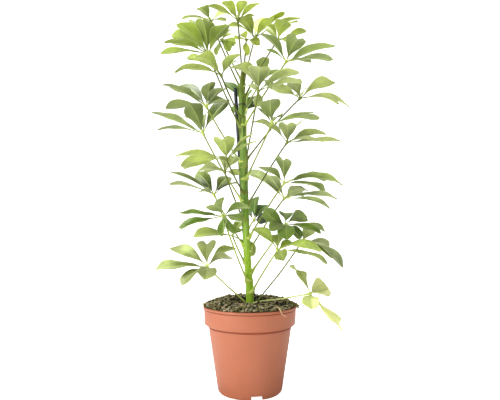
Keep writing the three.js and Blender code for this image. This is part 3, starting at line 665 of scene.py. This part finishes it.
# Leaflets with a form of their own, by leaf and leaflet: notched, sharp, waisted, tailed, twisted
NOTCHED = {"blunt": 0.62, "notch": 0.08, "wave": 0.03}
SHARP = {"blunt": 0.05, "notch": 0, "widest": 1.25}
OWN_FORM = {
    (8, 2): NOTCHED, (16, 2): NOTCHED, (20, 1): NOTCHED, (12, 2): NOTCHED,
    (29, 2): {**NOTCHED, "notch": 0.12},
    (18, 1): {"blunt": 0.7, "notch": 0.1, "widest": 1.05, "fullness": 0.8},
    (15, 1): SHARP, (15, 2): SHARP, (21, 1): SHARP, (8, 3): SHARP, (20, 3): SHARP, (12, 4): SHARP,
    (16, 5): SHARP, (22, 2): SHARP, (14, 2): SHARP,
    (22, 4): {"blunt": 0.02, "notch": 0, "widest": 0.8, "fullness": 1.1},
    (26, 4): {"blunt": 0.5, "notch": 0, "widest": 1.9, "fullness": 0.8},
    (30, 1): {"blunt": 0.05, "notch": 0, "twist": 62, "waist": 0.4, "tail": 0.3},
    (30, 2): {"blunt": 0.4, "notch": 0, "widest": 1.2, "fullness": 0.5},
    (30, 4): {
        "blunt": 0.05, "notch": 0, "widest": 1.4, "fullness": 0.45, "bend": 0.03,
        "waist": 0.8, "tail": 0.88,
    },
}
# Leaflets that hang in the dark behind others
SHADED = ((23, 3),)
# Leaflets of a darker and of a paler green than the rest of their leaf, partly their own tone and partly
# painted shade and painted light
DEEPER = (
    (1, 2), (3, 5), (5, 1), (6, 3), (7, 1), (7, 7), (8, 1), (8, 2), (10, 2), (10, 6), (12, 2), (13, 2),
    (13, 4), (13, 6), (14, 1), (15, 4), (15, 5), (17, 1), (19, 3), (20, 1), (20, 2), (21, 4), (22, 1),
    (25, 7), (27, 2), (28, 5), (29, 4), (30, 1),
)
PALER = (
    (8, 4), (10, 4), (13, 5), (14, 3), (16, 6), (19, 2), (20, 4), (21, 2), (21, 5), (22, 2), (22, 4),
    (24, 1), (25, 2), (25, 3), (25, 8), (26, 1), (27, 3), (28, 2), (28, 4), (29, 2), (29, 7), (30, 2),
    (30, 4),
)


def leaflet_manner(chance):
    """How one leaflet differs from the next: its tip, fold, waves, droop, side bend and twist."""
    blunt = chance.choice((0.16, 0.26, 0.34, 0.44))
    return {
        "widest": chance.uniform(1.35, 1.7),
        "fullness": chance.uniform(0.64, 0.76),
        "blunt": blunt,
        "notch": chance.uniform(0.0, 0.13) * blunt,
        "fold": chance.uniform(0.26, 0.44),
        "wave": chance.uniform(0.025, 0.065),
        "waves": chance.uniform(0.9, 1.9),
        "phase": chance.uniform(0, 2 * math.pi),
        "droop": chance.uniform(0.0, 0.06),
        "bend": chance.uniform(-0.035, 0.035),
        "twist": chance.uniform(-4, 4),
        "waist": 0,
        "tail": 0,
    }


def half_width(blade, width, manner):
    """Half a leaflet's width at a share of its blade, never less than its stalk's."""
    full, widest = manner["fullness"], manner["widest"]
    cut = (1 - math.asin(manner["blunt"] ** (1 / full)) / math.pi) ** (1 / widest)
    spread = math.sin(math.pi * (cut * blade) ** widest) ** full if blade else 0
    spread *= 1 - manner["waist"] * math.exp(-(((blade - WAIST[0]) / WAIST[1]) ** 2))
    spread *= 1 - manner["tail"] * smooth(*TAIL, blade)
    return max(width / 2 * spread, LEAFLET_STALK[0])


def sheet_faces(rows, sides):
    """The faces of a closed sheet, its upper points before its lower ones, and their surfaces."""
    faces, surfaces = [], []
    columns = len(COLUMNS)
    below = rows * columns
    for i in range(rows - 1):
        kinds = sides if i >= STALK_ROWS else (2, 2)
        for j in range(columns - 1):
            a = i * columns + j
            quad = (a, a + 1, a + 1 + columns, a + columns)
            faces += [quad, tuple(below + k for k in reversed(quad))]
            surfaces += kinds
        for j, flip in ((0, True), (columns - 1, False)):
            a = i * columns + j
            wall = (a, a + below, a + below + columns, a + columns)
            faces.append(wall[::-1] if flip else wall)
            surfaces.append(kinds[0])
    for i, flip in ((0, False), (rows - 1, True)):
        for j in range(columns - 1):
            a = i * columns + j
            wall = (a, a + below, a + below + 1, a + 1)
            faces.append(wall[::-1] if flip else wall)
            surfaces.append(2 if i == 0 else sides[0])
    return faces, surfaces


def leaflet(shape, hub, values, manner, sides, kind):
    """A leaflet's own stalk and its blade: one closed sheet, folded along a raised midrib."""
    heading, rise, length, width, turn, arch = values
    ahead = heading_vector(heading, rise)
    level_across = ahead.cross(UP).normalized()
    level_up = level_across.cross(ahead)
    blade_shares = [math.sin(0.5 * math.pi * k / BLADE_ROWS) ** 0.9 for k in range(BLADE_ROWS + 1)]
    shares = [STALK_SHARE * k / STALK_ROWS for k in range(STALK_ROWS)]
    shares += [STALK_SHARE + (1 - STALK_SHARE) * share for share in blade_shares]
    upper, lower, coords = [], [], []
    for share in shares:
        blade = max((share - STALK_SHARE) / (1 - STALK_SHARE), 0)
        half = half_width(blade, width, manner)
        bladed = smooth(0.0, FLAT_FROM, blade)
        # The middle of this row, on an arched and drooping line, and which way the row lies
        droop = manner["droop"] * length * (share - share**3)
        height = 4 * arch * share * (1 - share) + droop
        steep = (4 * arch * (1 - 2 * share)) / length + manner["droop"] * (1 - 3 * share**2)
        slope = ahead + level_up * steep
        across = Quaternion(ahead, math.radians(turn + manner["twist"] * (2 * blade - 1))) @ level_across
        normal = across.cross(slope).normalized()
        bend = manner["bend"] * length * 4 * blade * (1 - blade)
        middle = hub + ahead * length * share + level_up * height + across * bend
        thick = BLADE_THICKNESS * bladed + LEAFLET_STALK[1] * (1 - bladed)
        tip = smooth(TIP_FROM, 1, blade)
        for u in COLUMNS:
            out = abs(u)
            # A fold that is rounded at the midrib, and waves that grow to the edges
            fold = manner["fold"] * (math.sqrt(out * out + 0.01) - 0.1) - 0.08 * out**3
            lag = 0 if u < 0 else WAVE_LAG
            ripple = math.sin(manner["phase"] + 2 * math.pi * manner["waves"] * blade + lag)
            lift = bladed * (fold * half + manner["wave"] * width * out**2 * ripple)
            # The tip's outer parts lie farther back, and so does its middle where it is notched
            back = tip * length * (manner["notch"] * math.exp(-((u / 0.4) ** 2)) + 0.035 * out**2.4)
            point = middle + across * (u * half) - ahead * back + normal * lift
            # Half the sheet's thickness here, and how far the midrib stands out below
            rim = (EDGE_THICKNESS / BLADE_THICKNESS - 1) * out**6
            depth = thick / 2 * (1 + rim) if bladed > 0.5 else thick / 2 * math.sqrt(1 - 0.85 * out**2)
            ridge = MIDRIB[1] * (1 - 0.75 * blade) * bladed * math.exp(-((u * half / MIDRIB[0]) ** 2))
            upper.append(point + normal * (depth - 0.25 * ridge))
            lower.append(point - normal * (depth + ridge))
            coords.append((0.5 + 0.5 * u + 2 * kind, blade if blade else share - STALK_SHARE))
    faces, surfaces = sheet_faces(len(shares), sides)
    shape.add(upper + lower, coords + coords, faces, surfaces)


def stalk_line(name, hub, foot, bow, steps=30):
    """Points from a leaf's foot, on the stem or in the soil, up to its hub."""
    if name in FROM_SOIL:
        x, y = FROM_SOIL[name]
        start = Vector((x, y, soil_height(x, y) - STALK_SOIL_DEPTH))
    else:
        x, y, radius = along_table(STEM_LINE, foot)
        out = Vector((hub.x - x, hub.y - y, 0)).normalized()
        start = Vector((x, y, foot)) + out * 0.8 * radius
    end = hub + (hub - start).normalized() * 1.1
    middle = start.lerp(hub, 0.5) + UP * bow
    if name in FROM_SOIL:
        collar = start + UP * (STALK_SOIL_DEPTH + 2)
        ends = [start * 2 - collar, start, collar, middle, end, end * 2 - middle]
        return [spline(ends, k / steps) for k in range(steps + 1)]
    return [bezier(start, middle, end, k / steps) for k in range(steps + 1)]


def bezier(start, middle, end, share):
    """A place on the bow between two points, drawn towards a third."""
    return start * (1 - share) ** 2 + middle * 2 * share * (1 - share) + end * share**2


def spline(points, share):
    """A smooth line through all points but the first and the last."""
    spans = len(points) - 3
    k = min(int(share * spans), spans - 1)
    t = share * spans - k
    a, b, c, d = points[k:k + 4]
    return (b * 2 + (c - a) * t + (a * 2 - b * 5 + c * 4 - d) * t**2 + (b * 3 - a - c * 3 + d) * t**3) / 2


def stalk_radius(share, length, foot):
    """A flared sheath at the foot, wider on the middle leaves, a slim stalk and a swollen hub."""
    out = share * length
    flare, reach = (1.6, 6) if LOW_FOOT < foot < MIDDLE_FOOT else (1.1, 3.5)
    sheath = flare * math.exp(-((out / reach) ** 2)) + 0.5 * math.exp(-((out / 12) ** 2))
    hub = 1.35 * smooth(0.945, 0.99, share)
    return 1.1 + sheath + hub


def clasping_sheath(shape, foot, hub):
    """The pale foot of a leaf that clasps the stem: a thin collar, highest below the stalk."""
    x, y, radius = along_table(STEM_LINE, foot)
    facing = math.atan2(hub.y - y, hub.x - x)
    size = 1 if foot < MIDDLE_FOOT else 0.5
    clasp = math.radians(88)  # how far round the stem it reaches to each side
    steps = 16
    points = []
    for k in range(steps + 1):
        aside = 2 * k / steps - 1
        angle = facing + clasp * aside
        tall = 1 - aside**2
        edge = size * tall
        low, high = foot - 0.6 - 1.9 * size * tall, foot + 0.4 + 2.6 * size * tall**1.5
        section = ((-0.3, low), (0.75 * edge + 0.15, low + 0.5), (1.1 * edge + 0.2, high), (0.2, high + 0.3))
        for out, z in section:
            reach = radius + 0.8 + out
            points.append(Vector((x + reach * math.cos(angle), y + reach * math.sin(angle), z)))
    coords = [(k / len(points), 0.0) for k in range(len(points))]
    faces = [(4 * k + j, 4 * k + 4 + j, 4 * k + 4 + (j + 1) % 4, 4 * k + (j + 1) % 4)
             for k in range(steps) for j in range(4)]
    faces += [(0, 1, 2, 3), tuple(4 * steps + j for j in (3, 2, 1, 0))]
    shape.add(points, coords, faces, 2)


def running_foot(shape, foot, hub):
    """The foot of an upper stalk that runs down the stem's side as a rib."""
    start, end = foot - RUNNING_FOOT, foot + 1
    steps = 9
    line = []
    for k in range(steps + 1):
        z = start + (end - start) * k / steps
        x, y, radius = along_table(STEM_LINE, z)
        out = Vector((hub.x - x, hub.y - y, 0)).normalized()
        line.append(Vector((x, y, z)) + out * (radius - 0.6 + 0.9 * k / steps))
    tube(shape, line, [0.6 + 0.11 * k for k in range(steps + 1)], 10, 2)


def make_leaf(number, leaf, materials):
    """One leaf: its stalk, its foot on the stem and its whorl of leaflets."""
    name, hub, foot, bow, leaflets = leaf
    hub = Vector(hub)
    shape = Shape()
    line = stalk_line(name, hub, foot, bow)
    last = len(line) - 1
    length = (line[-1] - line[0]).length
    radii = [stalk_radius(k / last, length, foot) for k in range(last + 1)]
    tip = line[-1] + (line[-1] - line[-2]).normalized()
    tube(shape, line + [tip], radii + [1.5], 12, 2)
    if name not in FROM_SOIL:
        clasping_sheath(shape, foot, hub)
    if foot > MIDDLE_FOOT:
        running_foot(shape, foot, hub)
    chance = random.Random(number * 7 + 3)
    for k, values in enumerate(leaflets, 1):
        manner = {**leaflet_manner(chance), **OWN_FORM.get((number, k), {})}
        sides = (3, 3) if (number, k) in SHADED else (0, 1)
        kind = 1 if (number, k) in DEEPER else 2 if (number, k) in PALER else 0
        leaflet(shape, hub, values, manner, sides, kind)
    return shape.piece(f"{name}_whorl", materials)


def make_leaves():
    """All the leaves."""
    materials = make_leaf_materials()
    for number, leaf in enumerate(LEAVES, 1):
        slot = "foliage_young" if number in YOUNG_FOLIAGE else "foliage"
        place(make_leaf(number, leaf, materials[number]), slot, leaf[0])


# Stem, cane and tie

def make_stem():
    """The stem, swollen at each leaf's foot and ringed by its scar."""
    shape = Shape()
    feet = [leaf[2] for leaf in LEAVES if leaf[0] not in FROM_SOIL]
    bottom, top = STEM_LINE[0][0], STEM_LINE[-1][0]
    line, radii = [], []
    for z in range(bottom, top + 1):
        x, y, radius = along_table(STEM_LINE, z)
        near = min(feet, key=lambda foot: abs(foot - z)) - z
        # A narrow ring and a wide swelling at the nearest foot
        scar = 0.35 * math.exp(-((near / 0.9) ** 2)) + 0.45 * math.exp(-((near / 4) ** 2))
        line.append(Vector((x, y, z)))
        radii.append(radius + scar + 0.12 * math.sin(0.31 * z))
    line.append(Vector((line[-1].x, line[-1].y, top + 1.2)))
    radii.append(radii[-1] * 0.7)
    tube(shape, line, radii, 32, 0)
    place(shape.piece("plant_stem", [make_stem_material()]), "stem_green", "stem")


def make_cane():
    """The coated cane behind the stem, rounded at its top."""
    shape = Shape()
    length = (CANE_TOP - CANE_FOOT).length
    ahead = (CANE_TOP - CANE_FOOT).normalized()
    rings = [(k * 6, CANE_RADIUS) for k in range(int(length / 6))]
    for a in (0, 0.3, 0.6, 0.9, 1.2, 1.45):
        rings.append((length - CANE_ROUNDING + CANE_ROUNDING * math.sin(a), CANE_RADIUS * math.cos(a)))
    line = [CANE_FOOT + ahead * distance for distance, radius in rings]
    tube(shape, line, [radius for distance, radius in rings], 28, 0)
    black = make_plain_material("cane_coating", tone(18, 22, 28), tone(34, 40, 50), 0.36, 0.0001,
                                patch=120.0, speck=1500.0, upright=0.15)
    place(shape.piece("black_cane", [black]), "cane_coating", "support_cane")


def make_tie():
    """The thin band looped once round stem and cane."""
    x, y, radius = along_table(STEM_LINE, TIE_HEIGHT)
    share = (TIE_HEIGHT - CANE_FOOT.z) / (CANE_TOP.z - CANE_FOOT.z)
    cane = CANE_FOOT.lerp(CANE_TOP, share)
    stem = Vector((x, y, TIE_HEIGHT))
    reach = Vector((cane.x - x, cane.y - y, 0))
    along = reach.normalized()
    beside = Vector((-along.y, along.x, 0))
    section = ((-0.1, -0.8), (0.5, -0.65), (0.65, 0), (0.5, 0.65), (-0.1, 0.8), (-0.2, 0))
    turns = [math.pi * (k / 12 - 0.5) for k in range(13)]
    halves = (
        (stem, -along, beside, radius + TIE_CLEAR["stem"]),
        (stem + reach, along, -beside, CANE_RADIUS + TIE_CLEAR["cane"]),
    )
    points, faces = [], []
    for middle, ahead, aside, clear in halves:
        for a in turns:
            point = middle + ahead * math.cos(a) * clear + aside * math.sin(a) * clear
            away = (point - middle).normalized()
            points += [point + away * out + UP * up for out, up in section]
    count = len(section)
    for a in range(0, len(points), count):
        b = (a + count) % len(points)
        faces += [(a + k, a + (k + 1) % count, b + (k + 1) % count, b + k) for k in range(count)]
    coords = [(i // count * count / len(points), 0.5) for i in range(len(points))]
    shape = Shape()
    shape.add(points, coords, faces, 0)
    dark = make_plain_material("tie_band", tone(44, 50, 26), tone(66, 72, 40), 0.5, 0.0001, patch=200.0)
    place(shape.piece("cane_tie", [dark]), "tie_band", "tie")


# Pot and soil

# Crumbs heaped over the rim at its two sides: place and size
SPILT_CRUMBS = (
    (-62.6, 3, 120.2, 2.0), (-64.4, -2, 120.6, 1.7), (-66.0, 0, 120.4, 1.5), (-63.4, -8, 120.0, 1.6),
    (62.8, 2, 120.6, 2.2), (64.8, -3, 120.8, 2.2), (66.2, -6, 119.4, 1.9), (66.6, -8, 117.2, 1.5),
    (64.0, -11, 120.2, 1.8), (60.0, -16, 121.5, 2.2), (58.5, -8, 122.5, 2.4),
)
# Stalks that lie low over the soil: the leaf, and the place below where its stalk is well clear
LOW_STALKS = (("leaf_30", (58, -37)), ("leaf_29", (-30, -22)))
CLEAR_OF_STEM = 13
CLEAR_OF_STALK = 5.5


def pot_profile():
    """The wall cut through, as radius and height, from the floor's underside to its top.

    The second result lists the bands that lie in the grooves under the collar and the lip, which are painted
    with shade."""
    h = POT_HEIGHT
    under, over = POT_FLOOR
    foot = [
        (0, under), (38.2, under), (39.6, 5.6), (40.0, 4.8), (40.0, 0.5), (40.3, 0), (42.0, 0), (42.9, 0.3),
        (44.1, 1.5), (44.8, 3.0), (45.2, 5.0),
    ]
    wall = [(48.3, 26), (51.5, 47), (54.6, 68), (57.2, 86)]
    collar_groove = [(57.7, 89.8), (57.4, 90.9), (58.4, 92.0)]
    collar = [(61.9, 93.5), (62.8, 94.1), (63.3, 95.0), (63.45, 96.4), (63.9, 107)]
    lip_groove = [(64.1, h - 4.6), (63.8, h - 4.1), (63.7, h - 3.6), (64.9, h - 3.2)]
    lip = [
        (65.3, h - 2.6), (POT_LIP_RADIUS, h - 1.7), (65.2, h - 0.9), (64.8, h - 0.3), (64.2, h),
        (63.6, h - 0.2), (63.2, h - 0.8), (63.0, h - 3),
    ]
    inside = [
        (62.3, 104), (61.7, 96.4), (60.9, 95.2), (57.2, 92.8), (56.2, 90), (53.0, 66), (48.2, 34),
        (44.0, 8.8), (43.2, 7.9), (42.0, over), (0, over),
    ]
    profile, grooves = [], []
    for part in (foot, wall, collar_groove, collar, lip_groove, lip, inside):
        if part in (collar_groove, lip_groove):
            grooves += range(len(profile) - 1, len(profile) + len(part) - 2)
        profile += part
    return profile, grooves


def make_pot():
    """The nursery pot, with its drain slots cut up into the foot ring."""
    half_slot = math.degrees(math.asin(SLOT_WIDTH / 2 / SLOT_RADIUS))
    sides = 144
    sliver = 0.05  # half the angle in which a slot's side rises
    slot_sides = [a + s * half_slot for a in SLOT_ANGLES for s in (-1, 1)]
    angles = [2 * math.pi * k / sides for k in range(sides)]
    angles += [math.radians(a + s * sliver) % (2 * math.pi) for a in slot_sides for s in (-1, 1)]

    def open_slots(angle, j, radius, height):
        """Lifts the foot ring's underside to a slot's top between that slot's two sides."""
        turn = math.degrees(angle)
        off = min(abs((turn - a + 180) % 360 - 180) for a in SLOT_ANGLES)
        if off < half_slot and height < POT_FLOOR[0] and FOOT_RING[0] < radius < FOOT_RING[1]:
            return radius, SLOT_TOP + 0.06 * height
        return radius, height

    shape = Shape()
    profile, grooves = pot_profile()
    turned(shape, profile, sorted(angles), 0, open_slots, grooves)
    clay = make_plain_material("pot_plastic", tone(178, 102, 70), tone(190, 112, 80), 0.46, 0.00008,
                               patch=16.0, speck=2200.0)
    # Painted shade: a darker, rougher tone on the bands in the grooves under the collar and the lip
    groove_shade = make_plain_material("pot_groove_shade", tone(128, 62, 44), tone(148, 78, 56), 0.8, 0.0001,
                               patch=60.0, speck=2200.0)
    place(shape.piece("nursery_pot", [clay, groove_shade], 32), "pot_plastic", "pot")


def lump(shape, centre, size, chance, surface, flat=False):
    """An uneven crumb, or a flat flake of bark."""
    rings, sides = 4, 7
    stretch_by = Vector((chance.uniform(0.7, 1.3), chance.uniform(0.7, 1.3), chance.uniform(0.5, 1)))
    axis = (chance.uniform(-1, 1), chance.uniform(-1, 1), chance.uniform(-1, 1))
    turn = Quaternion(axis, chance.uniform(0, 3))
    if flat:
        stretch_by = Vector((chance.uniform(1.4, 2.6), chance.uniform(0.6, 1.0), chance.uniform(0.25, 0.4)))
        tilt = Quaternion((chance.uniform(-1, 1), chance.uniform(-1, 1), 0), chance.uniform(-0.4, 0.4))
        turn = tilt @ Quaternion(UP, chance.uniform(0, math.pi))
    seed = Vector((chance.uniform(0, 50), 0, 0))
    points, faces = [Vector((0, 0, -1))], []
    for i in range(1, rings):
        lift = math.pi * i / rings
        out, up = math.sin(lift), -math.cos(lift)
        for k in range(sides):
            a = 2 * math.pi * (k + 0.5 * (i % 2)) / sides
            points.append(Vector((out * math.cos(a), out * math.sin(a), up)))
    points.append(Vector((0, 0, 1)))
    top = len(points) - 1
    for k in range(sides):
        n = (k + 1) % sides
        faces.append((0, 1 + n, 1 + k))
        faces.append((top, top - sides + k, top - sides + n))
        for i in range(rings - 2):
            a, b = 1 + i * sides, 1 + (i + 1) * sides
            faces.append((a + k, a + n, b + n, b + k))
    placed = []
    for point in points:
        rough = 1 + 0.45 * noise.noise(point * 1.4 + seed)
        local = Vector(x * s for x, s in zip(point, stretch_by)) * rough * size
        placed.append(centre + turn @ local)
    shape.add(placed, [(0.5, 0.5)] * len(placed), faces, surface)


# The soils, by number: the name, the dark and light tones, the roughness, the depth of the relief
# and the fineness of the patches
SOILS = (
    ("soil_dark", (36, 34, 22), (78, 71, 47), 0.9, 0.0006, 130.0),
    ("soil_brown", (106, 97, 63), (156, 143, 99), 0.9, 0.0005, 150.0),
    ("soil_moss", (98, 102, 52), (148, 148, 86), 0.92, 0.0005, 180.0),
    ("soil_pale", (188, 180, 146), (226, 220, 190), 0.85, 0.0004, 200.0),
    ("soil_bark", (156, 138, 100), (204, 186, 146), 0.88, 0.0005, 170.0),
)
# How often a crumb is of each soil, close to the stem, farther out and at the rim
SOILS_BY_STEM = (0.74, 0.1, 0.1, 0.02, 0.04)
SOILS_OUTSIDE = (0.42, 0.18, 0.18, 0.07, 0.15)
SOILS_AT_RIM = (0.2, 0.25, 0.15, 0.1, 0.3)


def near_low_stalk(x, y):
    """Whether this place is at the stem's foot or below a stalk that leaves the soil."""
    spot = Vector((x, y))
    if spot.length < CLEAR_OF_STEM:
        return True
    for name, far in LOW_STALKS:
        foot = Vector(FROM_SOIL[name])
        way = Vector(far) - foot
        share = (spot - foot).dot(way) / way.length_squared
        if (spot - foot - way * min(max(share, 0), 1)).length < CLEAR_OF_STALK:
            return True
    return False


def round_place(radius, angle):
    """The x and y of a place given by its radius and angle."""
    return radius * math.cos(angle), radius * math.sin(angle)


def crumble(angle, j, radius, height):
    """Roughens the top of the soil and leaves its sides as they are."""
    if height < SOIL_CREST:
        return radius, height
    x, y = round_place(radius, angle)
    spot = Vector((x, y, 0))
    rough = 1.5 * noise.noise(spot * 0.16) + 1.1 * noise.noise(spot * 0.42) + 0.6 * noise.noise(spot * 0.9)
    return radius, soil_height(x, y) + rough - 0.4


def scatter_crumbs(shape, chance):
    """Crumbs all over the soil, mostly dark ones near the stem and small ones below low stalks."""
    for _ in range(1500):
        radius = (POT_LIP_RADIUS - 1.6) * math.sqrt(chance.random())
        x, y = round_place(radius, chance.uniform(0, 2 * math.pi))
        size = chance.uniform(0.7, 2.1) * (1.0 if radius < 57 else 0.75)
        if y > 30 and radius > 50:
            size *= 1.3
        if near_low_stalk(x, y):
            size *= 0.35
        kind = chance.choices(range(len(SOILS)), SOILS_BY_STEM if radius < 30 else SOILS_OUTSIDE)[0]
        lump(shape, Vector((x, y, soil_height(x, y) + 0.3 * size)), size, chance, kind)


def scatter_bark(shape, chance):
    """Flat flakes of bark on the outer soil."""
    for _ in range(340):
        radius = chance.uniform(28, POT_LIP_RADIUS - 2.4)
        x, y = round_place(radius, chance.uniform(0, 2 * math.pi))
        if not near_low_stalk(x, y):
            size = chance.uniform(0.9, 1.9)
            kind = chance.choices((1, 2, 3, 4), (0.25, 0.15, 0.2, 0.4))[0]
            lump(shape, Vector((x, y, soil_height(x, y) + 1.0)), size, chance, kind, flat=True)


def scatter_rim_crumbs(shape, chance):
    """Crumbs heaped against the rim, and those spilt over it."""
    for _ in range(260):
        radius = chance.uniform(55.5, POT_LIP_RADIUS - 2.6)
        x, y = round_place(radius, chance.uniform(0, 2 * math.pi))
        size = chance.uniform(0.8, 1.6)
        kind = chance.choices(range(len(SOILS)), SOILS_AT_RIM)[0]
        lump(shape, Vector((x, y, max(soil_height(x, y), SOIL_CREST) + 0.5 * size)), size, chance, kind)
    for x, y, z, size in SPILT_CRUMBS:
        lump(shape, Vector((x, y, z)), size, chance, chance.choice((1, 2, 4)))


def scatter_rootlets(shape, chance):
    """Short bowed bits of root and straw."""
    for _ in range(120):
        radius = (POT_LIP_RADIUS - 5) * math.sqrt(chance.random())
        x, y = round_place(radius, chance.uniform(0, 2 * math.pi))
        middle = Vector((x, y, soil_height(x, y) + 1.2))
        ahead = Vector((chance.uniform(-1, 1), chance.uniform(-1, 1), chance.uniform(-0.3, 0.3))).normalized()
        bow = Vector((chance.uniform(-1, 1), chance.uniform(-1, 1), chance.uniform(0, 1)))
        length = chance.uniform(4, 11)
        line = [middle + ahead * length * (k / 6 - 0.5) + bow * (1 - (k / 3 - 1) ** 2) for k in range(7)]
        if not near_low_stalk(x, y):
            tube(shape, line, [chance.uniform(0.2, 0.42)] * 7, 5, chance.choice((1, 3, 4)))


def make_soil():
    """The potting mix, with its crumbs, bark and bits of root."""
    shape = Shape()
    sides, rings = 120, 44
    edge = POT_LIP_RADIUS - 3.0  # of the top, just inside the lip
    angles = [2 * math.pi * k / sides for k in range(sides)]
    wall = [(0, 8.4), (42, 8.4), (55.0, 90), (59.6, 98.5), (61.6, 116)]
    top = [(edge * (1 - k / rings), SOIL_CREST) for k in range(rings)]
    turned(shape, wall + top + [(0, soil_height(0, 0))], angles, 0, crumble)
    chance = random.Random(11)
    scatter_crumbs(shape, chance)
    scatter_bark(shape, chance)
    scatter_rim_crumbs(shape, chance)
    scatter_rootlets(shape, chance)
    soils = [make_plain_material(name, tone(*dark), tone(*light), *rest)
             for name, dark, light, *rest in SOILS]
    place(shape.piece("potting_mix", soils), "potting_soil", "soil")


def make_stray_root():
    """A pale root that hangs over the front of the rim."""
    shape = Shape()
    bends = [Vector(place_on) for place_on in (
        (33, -34, 120), (35.5, -41, 122.6), (37.6, -50, 122.3), (39.2, -54.5, 119.8), (40.8, -55, 116.5),
        (43.1, -54, 114), (46.4, -52, 112.3), (50, -50, 111),
    )]
    steps = 30
    line = [spline(bends, k / steps) for k in range(steps + 1)]
    tube(shape, line, [0.85 - 0.4 * k / steps for k in range(steps + 1)], 8, 0)
    pale = make_plain_material("root_pale", tone(200, 164, 122), tone(226, 196, 154), 0.7, 0.0002,
                               patch=200.0)
    place(shape.piece("stray_root", [pale]), "potting_soil")


# Studio, in metres

CAMERA_PLACE = (0, -0.672, 0.224)
FILM_WIDTH = 36
LENS = 34.56
LENS_SHIFT = 0.06
LIT_POINT = Vector((0, 0, 0.28))


def make_stage():
    """A pale sheet that lies flat and then curves up behind the plant."""
    back, bend = 1.6, 1.2
    turns = [0.2 * k for k in range(1, 8)]
    profile = [(-3.0, 0.0), (back, 0.0)]
    profile += [(back + bend * math.sin(a), bend - bend * math.cos(a)) for a in turns]
    profile.append((back + bend, 4.5))
    points = [Vector((x, y, z)) for y, z in profile for x in (-5, 5)]
    faces = [(2 * i, 2 * i + 1, 2 * i + 3, 2 * i + 2) for i in range(len(profile) - 1)]
    mesh = bpy.data.meshes.new("studio_sheet")
    mesh.from_pydata([p - UP * 0.0002 for p in points], [], faces)
    mesh.polygons.foreach_set("use_smooth", [True] * len(faces))
    material, tree, output = new_material("studio_sheet")
    mottle = use_group(tree, MOTTLING, Patch_Size=1.5, Speck_Size=60.0)
    seen = add(tree, "ShaderNodeLightPath").outputs["Is Camera Ray"]
    paper = add(tree, "ShaderNodeBsdfPrincipled", {
        "Base Color": blend(tree, mottle["Patches"], tone(230, 230, 230), tone(238, 238, 238)),
        "Roughness": stretch(tree, mottle["Specks"], 0.0, 1.0, 0.8, 0.9),
        "Emission Color": (1, 1, 1, 1), "Emission Strength": seen,
    })
    tree.links.new(paper.outputs[0], output)
    mesh.materials.append(material)
    sheet = bpy.data.objects.new("studio_sheet", mesh)
    bpy.context.scene.collection.objects.link(sheet)


def make_light(name, where, size, power):
    """A round softbox turned towards the plant."""
    lamp = bpy.data.lights.new(name, "AREA")
    lamp.shape = "DISK"
    lamp.size = size
    lamp.energy = power
    made = bpy.data.objects.new(name, lamp)
    made.location = where
    made.rotation_euler = (LIT_POINT - Vector(where)).to_track_quat("-Z", "Y").to_euler()
    bpy.context.scene.collection.objects.link(made)


def make_air():
    """White where the camera sees past the plant, and a softer white light all round it."""
    world = bpy.data.worlds.new("studio_air")
    bpy.context.scene.world = world
    world.use_nodes = True
    tree = world.node_tree
    seen = add(tree, "ShaderNodeLightPath").outputs["Is Camera Ray"]
    air = tree.nodes["Background"]
    air.inputs["Color"].default_value = (1, 1, 1, 1)
    toward = add(tree, "ShaderNodeTexCoord").outputs["Generated"]
    upward = add(tree, "ShaderNodeSeparateXYZ", {0: toward}).outputs["Z"]
    soft = stretch(tree, upward, -0.5, 0.9, 0.28, 0.66)
    tree.links.new(maths(tree, "MAXIMUM", soft, seen), air.inputs["Strength"])


def make_camera():
    """A level camera at the front, its lens shifted so that the whole plant is in the picture."""
    camera = bpy.data.cameras.new("camera")
    camera.lens = LENS
    camera.sensor_width = FILM_WIDTH
    camera.shift_y = LENS_SHIFT
    camera.clip_start = 0.01
    made = bpy.data.objects.new("camera", camera)
    made.location = CAMERA_PLACE
    made.rotation_euler = (math.pi / 2, 0, 0)
    bpy.context.scene.collection.objects.link(made)
    bpy.context.scene.camera = made
    bpy.context.scene.view_settings.view_transform = "Standard"


make_air()
make_light("top_softbox", (-0.3, -0.1, 1.95), 0.8, 44)
make_light("left_softbox", (-1.2, -0.9, 0.5), 0.7, 13.5)
make_stage()
make_camera()
make_leaves()
make_stem()
make_cane()
make_tie()
make_pot()
make_soil()
make_stray_root()
